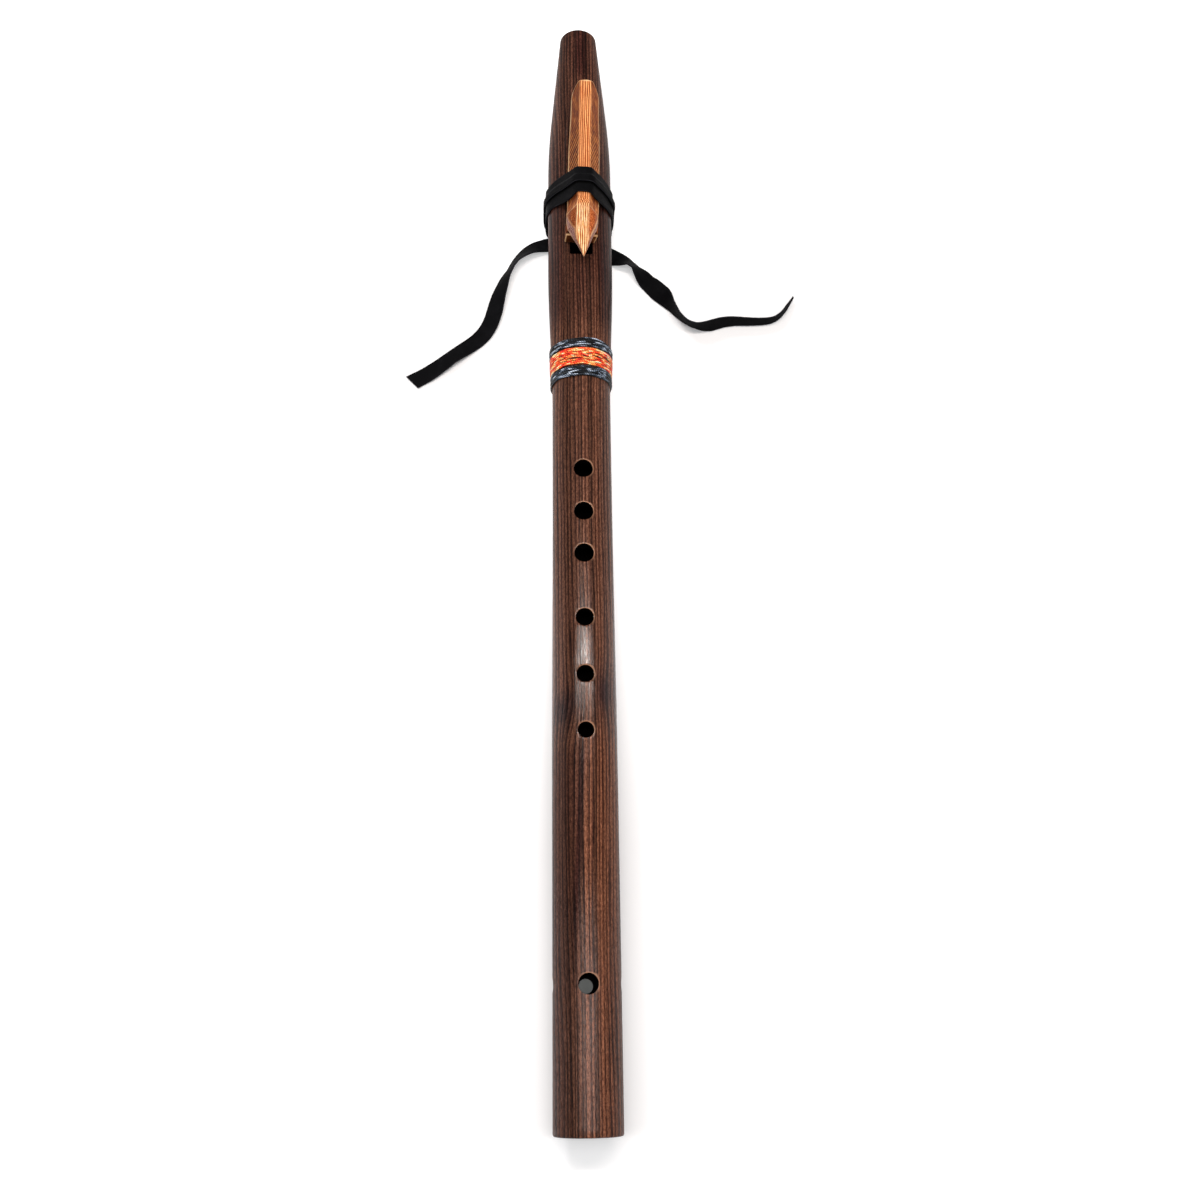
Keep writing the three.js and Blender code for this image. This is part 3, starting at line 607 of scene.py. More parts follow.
def row_places():
    """Rows along the body, closer together at the holes and at the nest."""
    windows = [(place - radius - WINDOW, place + radius + WINDOW)
               for place, radius in HOLES + [(TUNING, TUNING_R)]]
    edges = {ROUNDING, RAMP_START, NEST_START, CHAMBER, HOLE_END, DIVIDER_START, DIVIDER_END,
             EXIT_START, EXIT_END,
             MOUTH_HOLE, SHOULDER, LENGTH - ROUNDING}
    edges = sorted(edges.union(*windows))
    counts = []
    for low, high in zip(edges, edges[1:]):
        if (low, high) in windows:
            counts.append(2 * math.ceil((high - low) / HOLE_SPACING / 2))
        else:
            counts.append(math.ceil((high - low) / (
                NEST_SPACING if FINE_START < low < FINE_END else BODY_SPACING)))
    return divided(edges, counts)


ROWS = row_places()


def row_at(place):
    return int(np.argmin(np.abs(ROWS - place)))


def outer_radius(theta, place):
    """Round body, cut by the nest's flat on top, with the crease eased by sanding."""
    round_part = body_radius(place) + 0 * theta
    ramp = np.clip((place - RAMP_START) / NEST_RAMP, 0, 1)
    start = float(body_radius(RAMP_START))
    height = start + (NEST_Z - start) * (ramp - 0.045 * np.sin(2 * np.pi * ramp)) + 0.02 * (place < RAMP_START)
    cosine = np.cos(theta)
    flat = np.where(cosine > 0.3, height / np.maximum(cosine, 0.3), 1e3)
    gap = np.maximum(CREASE - np.abs(flat - round_part), 0)
    sharp = (place > CHAMBER - 2) & (np.abs(theta) < math.radians(26))
    cut = np.minimum(flat, round_part) - np.where(sharp, 0, gap ** 2 / (4 * CREASE))
    return np.where(place < RAMP_START - 3, round_part, cut)


def ring_of(radii, angles, place):
    return np.stack([radii * np.sin(angles), np.full(COLUMNS, place), radii * np.cos(angles)], 1)


def cells_of(low, high, columns):
    return {(i, j) for i in range(low, high) for j in columns[:-1]}


def loop_round(low, high, columns):
    """The grid's points round a window, each of them once."""
    loop = [(low, j) for j in columns]
    loop += [(i, columns[-1]) for i in range(low + 1, high + 1)]
    loop += [(high, j) for j in columns[-2::-1]]
    return loop + [(i, columns[0]) for i in range(high - 1, low, -1)]


class Hole:
    """A round hole, with the window of cells that it takes in the grid."""

    def __init__(self, facing, place, radius, half_angle, reach):
        self.place = place
        self.radius = radius
        turn = math.radians(facing)
        self.side = np.array([math.cos(turn), 0, -math.sin(turn)])
        self.out = np.array([math.sin(turn), 0, math.cos(turn)])
        offset = (ANGLES - facing + 180) % 360 - 180
        columns = [j for j in np.argsort(offset).tolist() if abs(offset[j]) <= half_angle + 1e-6]
        span = row_at(place - reach), row_at(place + reach)
        self.cells = cells_of(*span, columns)
        self.loop = loop_round(*span, columns)

    def window(self, skin, rows):
        """Where the window's points lie, across and along from the hole's middle."""
        points = np.array([skin.points[rows[i][j]] for i, j in self.loop])
        return np.stack([points @ self.side, points[:, 1] - self.place], 1)

    def ring(self, flat, radius_at, drop=0.0):
        """Points across and along from the hole's middle, on a round surface or sunk into it."""
        across, along = flat[:, :1], flat[:, 1:] + self.place
        high = np.sqrt(np.maximum(radius_at(along) ** 2 - across ** 2, 0)) - drop
        return self.side * across + self.out * high + np.array([0, 1, 0]) * along


def bore_hole(skin, hole, outer, inner):
    """A round hole's walls, from its window in the outside to its window in the bore, with an eased rim."""
    start, end = hole.window(skin, outer), hole.window(skin, inner)
    extent = np.abs(start).max(0)
    phi = np.arctan2(start[:, 1] / extent[1], start[:, 0] / extent[0])
    circle = np.stack([np.cos(phi), np.sin(phi)], 1)
    ring = [outer[i][j] for i, j in hole.loop]
    for share in (0.4, 0.75, 1.0):
        ring = skin.grow(ring, hole.ring(start + (circle * (hole.radius + RIM) - start) * share, body_radius))
    for a in np.radians((30, 60, 90)):
        eased = circle * (hole.radius + RIM * (1 - math.sin(a)))
        ring = skin.grow(ring, hole.ring(eased, body_radius, RIM * (1 - math.cos(a))))
    for share in (0, 0.5):
        wall = circle * hole.radius
        ring = skin.grow(ring, hole.ring(wall + (end - wall) * share, lambda s: BORE))
    skin.band(ring, [inner[i][j] for i, j in hole.loop])


def close_divider(skin, ring, place, radii):
    for radius in radii:
        ring = skin.grow(ring, ring_of(radius, INNER_THETA, place))
    return ring


def close_foot(skin, ring, bore):
    for a in np.radians((60, 30, 0)):
        radius = FOOT_R - ROUNDING * (1 - math.sin(a))
        ring = skin.grow(ring, ring_of(radius - GROOVE, THETA, ROUNDING * (1 - math.cos(a))))
    for radius, place in ((13.3, 0), (BORE + 0.4, 0), (BORE + 0.12, 0.12), (BORE, 0.4)):
        share = (radius - BORE) / (FOOT_R - ROUNDING - BORE)
        ring = skin.grow(ring, ring_of(radius, THETA * share + INNER_THETA * (1 - share), place))
    skin.band(ring, bore)


def close_mouth(skin, ring, chamber):
    lip = float(body_radius(LENGTH - ROUNDING))
    for a in np.radians((30, 60, 90)):
        radius = lip - ROUNDING * (1 - math.cos(a))
        ring = skin.grow(ring, ring_of(radius - GROOVE, THETA, LENGTH - ROUNDING * (1 - math.sin(a))))
    for radius, place in ((7.0, LENGTH), (MOUTH_BORE + 0.6, LENGTH), (MOUTH_BORE + 0.18, LENGTH - 0.18),
                          (MOUTH_BORE, LENGTH - 0.6), (MOUTH_BORE, LENGTH - 12), (MOUTH_BORE, MOUTH_HOLE)):
        ring = skin.grow(ring, ring_of(radius, THETA, place))
    skin.band(close_divider(skin, chamber, MOUTH_HOLE, (7.5,)), ring)


def cut_flue(skin, outer, inner, window, sound, leave):
    """The flue's deck, and the walls of the true sound hole and the exit hole at its ends."""
    across = NEST_Z * np.tan(THETA[window])
    rows = range(sound[1], leave[0] + 1)
    deck = {i: skin.add([(x, ROWS[i], DECK_Z) for x in across]) for i in rows}
    for i in rows[:-1]:
        skin.band(deck[i], deck[i + 1], closed=False)
        for k in (0, -1):
            j = window[k]
            skin.faces.append((outer[i][j], outer[i + 1][j], deck[i + 1][k], deck[i][k]))
    for low, high, open_row, shut_row, depth in ((*sound, sound[1], sound[0], 14.6), (*leave, *leave, DECK_Z)):
        loop = loop_round(low, high, window)
        middle = {}
        for i, j in sorted(loop):
            k = window.index(j)
            if i == open_row:
                middle[i, j] = deck[i][k]
            else:
                share = abs(ROWS[i] - ROWS[open_row]) / abs(ROWS[shut_row] - ROWS[open_row])
                middle[i, j] = skin.add([(across[k], ROWS[i], DECK_Z + (depth - DECK_Z) * share)])[0]
        for a, b in zip(loop, loop[1:] + loop[:1]):
            if not a[0] == b[0] == open_row:
                skin.faces.append((outer[a[0]][a[1]], outer[b[0]][b[1]], middle[b], middle[a]))
            skin.faces.append((middle[a], middle[b], inner[b[0]][b[1]], inner[a[0]][a[1]]))


def body_skin(holes):
    skin = Skin()
    window = [j for j in range(COLUMNS) if abs(ANGLES[j]) < NEST_ANGLE + 0.01]
    sound = row_at(CHAMBER), row_at(HOLE_END)
    leave = row_at(EXIT_START), row_at(EXIT_END)
    first, last, mouth = row_at(DIVIDER_START), row_at(DIVIDER_END), row_at(MOUTH_HOLE)
    holed = set().union(*(hole.cells for hole in holes))
    outer = [skin.add(ring_of(outer_radius(THETA, place) - GROOVE, THETA, place)) for place in ROWS]
    undercut = ([0, UNDERCUT_START, CHAMBER, HOLE_END, LENGTH],
                [0, UNDERCUT_START, UNDERCUT_EDGE, HOLE_END, LENGTH])
    shut = holed | cells_of(sound[0], leave[1], window)
    for i in range(len(ROWS) - 1):
        skin.band(outer[i], outer[i + 1], skip={j for row, j in shut if row == i})
    inner = {i: skin.add(ring_of(BORE, INNER_THETA, np.interp(ROWS[i], *undercut)))
             for i in range(mouth + 1) if i <= first or i >= last}
    open_cells = holed | cells_of(*sound, window) | cells_of(*leave, window)
    for i in inner:
        if i + 1 in inner:
            skin.band(inner[i], inner[i + 1], skip={j for row, j in open_cells if row == i})
    for row in (first, last):
        skin.fan(close_divider(skin, inner[row], ROWS[row], (8.0, 4.0)), (0, ROWS[row], 0))
    close_foot(skin, outer[0], inner[0])
    close_mouth(skin, outer[-1], inner[mouth])
    for hole in holes:
        bore_hole(skin, hole, outer, inner)
    cut_flue(skin, outer, inner, window, sound, leave)
    return skin


# Smudges of smoke by the sixth hole: strength, then middle and reach across, middle and reach along
SMUDGES = [(1.0, -11.5, 5.0, 193, 9.5), (0.5, -5.5, 3.0, 198, 6.5), (1.1, 9.7, 4.4, 202, 11)]


def body_tone(x, s, z, streak):
    """Darker wood: a long streak and what is left of it, the foot's sides, the mouth end and the nest. The top
    just below the sound hole is darker too.
    """
    down = step(s, 183, -16) * step(s, 55, 50)
    tone = down * (np.exp(-((x - streak) / 1.4) ** 4) + 0.5 * step(x, streak, -2))
    tone += 0.5 * step(s, 90, -40) * step(x, -7, -5) + 0.25 * step(s, 120, -40) * step(x, 8, 5)
    tone += 0.85 * step(s, 562, 20) * hump(x, 1, 4.5)
    tone += 0.35 * step(s, 400, 15) + 0.30 * step(s, 425, 20) * step(x, 3, 3) * step(s, 462, -6)
    tone += 0.5 * step(np.abs(x), 8.5, 3) * step(s, 400, 20) * step(s, 540, -60)
    tone += 0.35 * hump(x, 0, 6.2) * hump(s, 436, 14) * (z > 13)
    ends = (s < 0.05) | (s > LENGTH - 0.05)
    return tone * (z > 0) + 0.35 * ends


def hole_marks(p, holes):
    """Pale wear and a painted highlight round the holes' rims, most at their upper right, and their walls
    painted dark as shade.
    """
    s = p[:, 1]
    worn, wall = np.zeros(len(p)), np.zeros(len(p))
    for hole in holes:
        u, w = p @ hole.side, p @ hole.out
        far = np.hypot(u, s - hole.place) - hole.radius
        upper = np.clip(0.3 + 0.7 * (s - hole.place + 0.8 * u) / (hole.radius * 1.2), 0, 1)
        at_rim = np.abs(np.sqrt(np.maximum(body_radius(s) ** 2 - u ** 2, 0)) - w) < 0.6
        worn = np.maximum(worn, 0.8 * upper * hump(far, 0.15, 0.17) * at_rim)
        wall = np.maximum(wall, step(far, 0.06, -0.03) * (w > BORE - 0.5))
    return worn, wall


def wood_marks(p, holes):
    """The body's looks by point: bent grain, smudges, dark and warm parts, wear with painted highlight at the
    holes' rims, insides painted dark as shade, and polish.
    """
    x, s, z = p.T
    on_top = z > 0
    # Grain leans and bends round a knot above the sixth hole
    lean = step(s, 206, -34) * step(s, 20, 120)
    bend = 2.6 * lean * hump(x, -9, 6.5) - 1.3 * hump(x, -6.5, 3.5) * hump(s, 194, 16)
    bend += 1.2 * hump(x, 9, 4.5) * hump(s, 201, 14)
    smoke = sum(strength * hump(x, across, wide) * hump(s, along, far)
                for strength, across, wide, along, far in SMUDGES)
    streak = -1 - 5 * np.clip((190 - s) / 110, 0, 1)
    warm = 0.8 * step(s, 195, -30) * step(x, streak + 1.2, 2)
    worn, wall = hole_marks(p, holes)
    # Below the outer surface the wood is painted near black as shade, as are the holes' walls
    depth = outer_radius(np.arctan2(x, z), s) - np.hypot(x, z)
    inside = np.maximum(step(depth, 0.14, 0.2) * (s > 0.2) * (s < LENGTH - 0.1), wall)
    # Polished where fingers and hands hold it, duller at the nest and the mouth end
    polish = 0.75 + 0.95 * hump(s, 212, 42)
    polish += 1.9 * step(s, 125, -60) * (1 - 0.75 * step(np.abs(x - 0.5), 2.5, 5))
    polish *= (1 - inside) * (1 - step(s, 378, 25) * (0.9 - 0.5 * step(np.abs(x), 10, 2)))
    shares = {"tone": body_tone(x, s, z, streak), "smoke": smoke * on_top, "warm": warm * on_top, "worn": worn}
    marks = {name: np.clip(values, 0, 1) for name, values in shares.items()}
    return marks | {"polish": polish, "satin": step(s, 130, -60), "bend": bend * on_top, "inside": inside}


def make_body():
    """The skin is cut along the glue line, and each half is closed there."""
    holes = [Hole(0, place, radius, TOP_HOLE_ANGLE, radius + WINDOW)
             for place, radius in HOLES + [(TUNING, TUNING_R)]]
    for facing, half_angle in ((90, SIDE_HOLE_ANGLE), (-90, SIDE_HOLE_ANGLE), (180, BACK_HOLE_ANGLE)):
        holes.append(Hole(facing, TUNING, SIDE_TUNING_R, half_angle, TUNING_R + WINDOW))
    skin = body_skin(holes)
    for name, node, side, look in (("top_cedar_half", "body_top_half", 1, WOOD_TOP),
                                   ("bottom_cedar_half", "body_bottom_half", -1, WOOD_BOTTOM)):
        bm = bmesh_of(skin)
        everything = [*bm.verts, *bm.edges, *bm.faces]
        bmesh.ops.bisect_plane(bm, geom=everything, dist=1e-5, plane_co=(0, 0, SEAM * side),
                               plane_no=(0, 0, side), clear_inner=True)
        rims = [e for e in bm.edges if len(e.link_faces) == 1]
        bmesh.ops.triangle_fill(bm, edges=rims, use_beauty=True, normal=(0, 0, -side))
        bmesh.ops.recalc_face_normals(bm, faces=bm.faces)
        finish_piece(name, bm, look, "flute", node, lambda p: wood_marks(p, holes), 32)


make_body()


# Block, in its own frame: x across, y from its front end, z from its underside
BLOCK_LENGTH, BLOCK_HALF, BLOCK_SIDE, SADDLE, STRIP = 100.0, 8.75, 5.2, 14.4, 3.4
BEAK, TIP_Z, TIP_SIDE, TIP_LENGTH = 14.9, 9.6, 9.1, 9.4
ROOT, ROOT_HALF = 2.6, 7.9
RIDGE_START = {"left": 0.5, "right": -5.5}
RIDGE_POWER, FACET_BULGE, SCOOP = 0.62, (0.85, 0.5), 1.1
FRONT_SIDE, BASE_TOP, BASE_END, BASE_CORNER = 7.8, 6.6, 8.0, 0.4
CROWN_Y, CROWN_Z, RAMP_END = 13.6, 16.2, 19.8
TAIL_ARCH, TAIL_POWER, TAIL_DROP, TAIL_SLOPE = 10.2, 2.4, 2.0, 37.0
CORNER_EASES, STRETCH_COUNTS = (0.35, 0.55, 0.35, 0.3), (5, 9, 5, 3, 4)


def block_top(y):
    if y < CROWN_Y:
        return TIP_Z + (CROWN_Z - TIP_Z) * (y + BEAK) / (CROWN_Y + BEAK)
    if y < RAMP_END:
        return CROWN_Z + (SADDLE - CROWN_Z) * (y - CROWN_Y) / (RAMP_END - CROWN_Y)
    return SADDLE - TAIL_DROP * max((y - BLOCK_LENGTH) / TAIL_SLOPE + 1, 0) ** 2


def block_side(y):
    """Height of the block's upright sides: a little more at its front."""
    return BLOCK_SIDE + (FRONT_SIDE - BLOCK_SIDE) * (1 - step(y, 6, 10))


def block_corners(y, full, hand):
    """Half of the section: top middle, strip edge, facet edge, lower edge, bottom corner, bottom middle."""
    top = block_top(y)
    if y >= CROWN_Y:
        into = 1 - min((BLOCK_LENGTH - y) / TAIL_ARCH, 1)
        half = (BLOCK_HALF * (1 - 0.09 * step(y, 55, 30))
                * max(1 - into ** TAIL_POWER, 0.0003) ** (1 / TAIL_POWER))
        slope = (SADDLE - BLOCK_SIDE) / (BLOCK_HALF - STRIP)
        side = max(block_side(y), min(SADDLE - slope * (half - STRIP) - (SADDLE - top) * 0.5, top - 0.15))
        return [(0, top), (min(STRIP, half * 0.97), top), (half, side), (half, side * 0.5), (half, 0), (0, 0)]
    strip = (STRIP * min(1.0, (y + BEAK) / TIP_LENGTH), top)
    if y <= ROOT:
        reach = (y + BEAK) / (BEAK + ROOT)
        half, low = ROOT_HALF * reach, TIP_SIDE + (FRONT_SIDE - TIP_SIDE) * reach
    else:
        half, low = np.interp(y, [ROOT, BASE_END], [ROOT_HALF, BLOCK_HALF]), block_side(y)
    start = RIDGE_START[hand]
    ridge = max(np.clip((y - start) / (CROWN_Y - start), 0, 1) ** RIDGE_POWER, 0.1)
    facet = np.array(strip) * (1 - ridge) + np.array((half, low)) * ridge
    facet += np.array(FACET_BULGE) * math.sin(math.pi * ridge)
    under = [(half, 0), (0, 0)] if full else [(half * 0.6, low + 0.12), (0, low + 0.2)]
    return [(0, top), strip, tuple(facet), (half, low), *under]


def eased_profile(corners, scoop):
    """Points along the corners, each corner rounded, with the second stretch hollowed by scoop."""
    corners = np.array(corners, float)
    cuts = []
    for before, here, after, ease in zip(corners, corners[1:], corners[2:], CORNER_EASES):
        a, b = np.linalg.norm(before - here), np.linalg.norm(after - here)
        ease = min(ease, 0.4 * a, 0.4 * b)
        cuts.append((here + (before - here) * ease / max(a, 1e-6), here,
                     here + (after - here) * ease / max(b, 1e-6)))
    points = []
    start = corners[0]
    for k, count in enumerate(STRETCH_COUNTS):
        end = cuts[k][0] if k < len(cuts) else corners[-1]
        across = end - start
        inward = np.array((across[1], -across[0])) / max(np.linalg.norm(across), 1e-6)
        push = scoop if k == 1 else 0.0
        points += [start + across * f + inward * push * math.sin(math.pi * f)
                   for f in np.arange(count) / count]
        if k < len(cuts):
            a, b, c = cuts[k]
            points += [a * (1 - t) ** 2 + 2 * b * t * (1 - t) + c * t ** 2 for t in (0, 1 / 3, 2 / 3)]
            start = c
    return points + [corners[-1]]


def block_ring(y, full, grow=1.0):
    right, left = (eased_profile(block_corners(y, full, hand),
                                 -SCOOP * step(y, CROWN_Y - 0.4, -1.6) * step(y, RIDGE_START[hand], 5))
                   for hand in ("right", "left"))
    return [(x * grow, y, z) for x, z in right] + [(-x * grow, y, z) for x, z in left[-2:0:-1]]


def sorted_places(*groups):
    return sorted({round(float(y), 3) for group in groups for y in group})


def main_block():
    front = sorted_places(np.arange(0.25 - BEAK, ROOT, 0.75), (0.02 - BEAK, *RIDGE_START.values(), ROOT))
    tail = [BLOCK_LENGTH - TAIL_ARCH * (1 - math.sin(a)) for a in np.radians(range(0, 88, 4))]
    back = sorted_places(np.arange(ROOT + 0.7, RAMP_END + 2, 0.6),
                         (ROOT, CROWN_Y - 0.25, CROWN_Y + 0.25, RAMP_END),
                         np.arange(RAMP_END + 2, BLOCK_LENGTH - TAIL_ARCH, 1.7), tail)
    rings = [block_ring(y, False) for y in front] + [block_ring(y, True) for y in back]
    skin = Skin()
    skin.stack_with_ends(rings + [block_ring(BLOCK_LENGTH - 0.012, True, 0.4)])
    return bmesh_of(skin)


def block_base():
    """The block's front foot; rings within its front face let the face's middle be painted dark as the head's
    shadow.
    """
    rings = []
    for y, inset in ((0, 0.45), (0.1, 0.2), (0.4, 0), (1.5, 0), (3, 0), (5, 0),
                     (BASE_END, 0), (BASE_END + 0.2, 0.4)):
        half, high = BLOCK_HALF - 0.02 - inset - BASE_CORNER, BASE_TOP - inset - BASE_CORNER
        low = inset + BASE_CORNER
        ring = []
        for x, z, start in ((half, high, 90), (half, low, 0), (-half, low, -90), (-half, high, -180)):
            for a in np.radians((start, start - 30, start - 60, start - 90)):
                ring.append((x + BASE_CORNER * math.cos(a), y, z + BASE_CORNER * math.sin(a)))
        rings.append(ring)
    front = np.array(rings[0])
    centre = np.array((0, 0, BASE_TOP / 2))
    skin = Skin()
    skin.stack_with_ends([centre + (front - centre) * share for share in (0.4, 0.75, 0.95)] + rings)
    return bmesh_of(skin)


def loose_object(name, bm):
    mesh = bpy.data.meshes.new(name)
    bm.to_mesh(mesh)
    bm.free()
    return add_object(name, mesh)


def united(first, second):
    """One closed bmesh from two, with what they share inside taken away."""
    a, b = loose_object("part_a", first), loose_object("part_b", second)
    join = a.modifiers.new("join", "BOOLEAN")
    join.operation, join.solver, join.object = "UNION", "EXACT", b
    graph = bpy.context.evaluated_depsgraph_get()
    bm = bmesh.new()
    bm.from_mesh(bpy.data.meshes.new_from_object(a.evaluated_get(graph)))
    for made in (a, b):
        bpy.data.objects.remove(made)
    return bm


def block_to_flute(p):
    """The carver's hand: the beak's tip bends to the right, and the foot of the block to the left."""
    c, s = math.cos(BLOCK_YAW), math.sin(BLOCK_YAW)
    x, y, z = p.T
    low = step(z, 7, -5) * step(y, 12, -8)
    x = (x + 0.75 * step(y, 0, -BEAK) - low * (0.6 + 0.1 * np.maximum(x, 0))
         - 0.35 * step(y, -8, 8) * step(y, 17, -3))
    return np.stack([x * c + y * s + BLOCK_OFFSET, -x * s + y * c + BLOCK_FRONT, z + BLOCK_BOTTOM], 1)


def edge_wear_and_highlight(x, y, right, b, c, near_b, near_c, near_d):
    """Wear and painted highlight on the strip's edge b, the facet's edge c and the lower edge d, and at the
    tail's end.
    """
    if y >= RAMP_END:
        return max(0.2 * hump(near_b, 0, 0.3), 1.1 * hump(near_c, 0, 0.5),
                   0.9 * step(y, BLOCK_LENGTH - 1.2, 0.8))
    worn = 0.3 * hump(near_b, 0, 0.35)
    if y >= CROWN_Y:
        worn = max(worn, 0.5 * hump(near_c, 0, 0.45))
    else:
        worn = max(worn, 0.55 * hump(near_d, 0, 0.45))
        if y > -4:
            worn = max(worn, (0.3 + 0.6 * right) * hump(near_c, 0, 0.5))
    if abs(y - CROWN_Y) < 0.5 and b[0] < x < c[0]:
        worn = max(worn, 0.4)
    return worn


def point_marks(across, y, z):
    """How a point looks: sanded strip (partly painted light), pale edges (wear and painted highlight), scoops
    and facets of the head, painted shade in recesses and on the left scoop.
    """
    x, right = abs(across), float(across > 0)
    spot = min(max(y, 0.05 - BEAK), BLOCK_LENGTH - 0.05)
    (_, top), b, c, d = block_corners(spot, y > ROOT, "right" if right else "left")[:4]
    worn = edge_wear_and_highlight(x, y, right, b, c, *(math.dist((x, z), corner) for corner in (b, c, d)))
    strip = under = scoop = dark = 0.0
    if x < b[0] - 0.02 and z > top - 0.4:
        strip = step(x, b[0], -0.3)
    elif z > d[1] - 0.2 and y < CROWN_Y:
        facet = np.subtract(d, c)
        below = step(facet.dot((x - c[0], z - c[1])) / max(facet.dot(facet), 1e-6), 0, 0.2)
        under = below * step(y, CROWN_Y - 1, -3)
        scoop = (1 - below) * step(y, CROWN_Y - 0.3, -0.8)
        # The left scoop is painted darker as shade
        dark = 0.25 * (1 - right) * scoop
    # The base's front face is painted dark as the head's shadow, and its corner edges pale as painted highlight
    if y < 0.6 and z < BASE_TOP + 0.2:
        worn = max(worn, 0.9 * step(x, 7.9, 0.6), 0.6 * step(z, 0.5, -0.4))
        dark = 0.75 * step(x, 8.2, -0.6)
    # The gap between the head and the base is painted near black as shade
    elif y < ROOT + 0.2 and z < FRONT_SIDE - 0.1:
        dark = 0.95 * (z > 0.5)
    waves = math.sin(1.5 * y) + 1.6 * wander(across * 0.8, y * 0.5, seed=6)
    rubbed = 0.75 + 0.45 * wander(across * 0.4, y * 0.35, z * 0.4, seed=3)
    return {
        "strip": strip, "under": under, "scoop": scoop, "along": y, "worn": min(max(worn * rubbed, 0), 1),
        "dark": max(dark, 0.4 * step(y, 1.6 - BEAK, -1.2)), "facet": 0.1 + 0.9 * step(z, c[1], 0.8),
        "tan": step(y, CROWN_Y - 0.6, 0.8) * step(y, RAMP_END + 2, -6), "head": step(y, RAMP_END - 2, -8),
        "swirl": 0.5 * hump(y, CROWN_Y + 2.6, 2.6) * waves}


def block_marks(p):
    rows = [point_marks(*point) for point in p]
    return {name: [row[name] for row in rows] for name in rows[0]}


finish_piece("carved_block", united(main_block(), block_base()), WOOD_BLOCK, "block", "block",
             block_marks, 38, lambda p: to_world(block_to_flute(p)))


# Strap turns and knot
LOWER_TURN = (CHAMBER + 29.1, CHAMBER + 39.1)
UPPER_TURN = (LOWER_TURN[1] - 3.4, LOWER_TURN[1] + 6.6)
OVER_LOWER = SEAT + THONG_THICKNESS + SEAT
STRAP_POINTS, TURN_STEP = 260, 0.5
KNOT_HALF_WIDTH, KNOT_HALF_LENGTH, KNOT_CORNER = 9.9, 7.4, 0.55
KNOT_FLOOR = 0.04


def strap_line():
    """A tight line round body and block, evenly spaced: its base points and the directions out of it."""
    corners = []
    for place in (LOWER_TURN[0], UPPER_TURN[1]):
        middle = BLOCK_OFFSET + math.sin(BLOCK_YAW) * (place - BLOCK_FRONT)
        for side in (-1, 1):
            corners.append((middle + side * STRIP, BLOCK_BOTTOM + SADDLE))
            corners.append((middle + side * BLOCK_HALF, BLOCK_BOTTOM + BLOCK_SIDE))
    corners = np.array(corners)
    turns = np.radians(np.arange(0, 360, TURN_STEP) - 90)
    out = np.stack([np.cos(turns), np.sin(turns)], 1)
    base = out * NEST_R
    reach = corners @ out.T
    outside = reach.max(0) > NEST_R
    base[outside] = corners[reach.argmax(0)[outside]]
    loop, out = np.vstack([base, base[:1]]), np.vstack([out, out[:1]])
    # A little of the direction is added to the length, so that corners get points of their own
    lengths = np.linalg.norm(np.diff(loop, axis=0), axis=1) + 1.6 * math.radians(TURN_STEP)
    along = np.concatenate([[0], np.cumsum(lengths)])
    spots = np.linspace(0, along[-1], STRAP_POINTS, endpoint=False)
    points, ways = (np.stack([np.interp(spots, along, line[:, k]) for k in (0, 1)], 1) for line in (loop, out))
    return points, unit(ways)


def turn_section(start, end, lift):
    """Closed outline as (place, height, edge) points of a thong 1 mm thick with soft edges."""
    places = np.linspace(start + 0.35, end - 0.35, 13)
    top = [(s, lift(s) + 1.0, 0.0) for s in places]
    low = [(s, lift(s), 0.0) for s in places[::-1]]
    far = [(end - 0.08, lift(end) + 0.82, 1.0), (end, lift(end) + 0.5, 1.0),
           (end - 0.08, lift(end) + 0.16, 0.4)]
    near = [(start + 0.08, lift(start) + 0.16, 0.4), (start, lift(start) + 0.5, 1.0),
            (start + 0.08, lift(start) + 0.82, 1.0)]
    return top + far + low + near


def strap_lean(x, z, arch):
    """The thong's lean from square: back down its flanks, with its front edge arched over the block."""
    lean = (3.2 * step(z, 31, -20) + 4.4 * step(z, 6, -12)) * step(z, -18, 8) - 0.035 * x
    flank = abs(x - BLOCK_OFFSET)
    return lean + arch * (0.5 - 1.9 * step(flank, 2, 6) + 1.4 * step(flank, 10, 7)) * step(z, -5, 8)


def thong_hang(z):
    """The thong hangs straight down from the body's sides before it turns under to the knot."""
    below = math.asin(min(max(-z / NEST_R, 0.0), 0.95))
    return min(1.15 * NEST_R * (1 / math.cos(below) - 1), 5.5) * (1 - step(below, 0.66, 0.44))


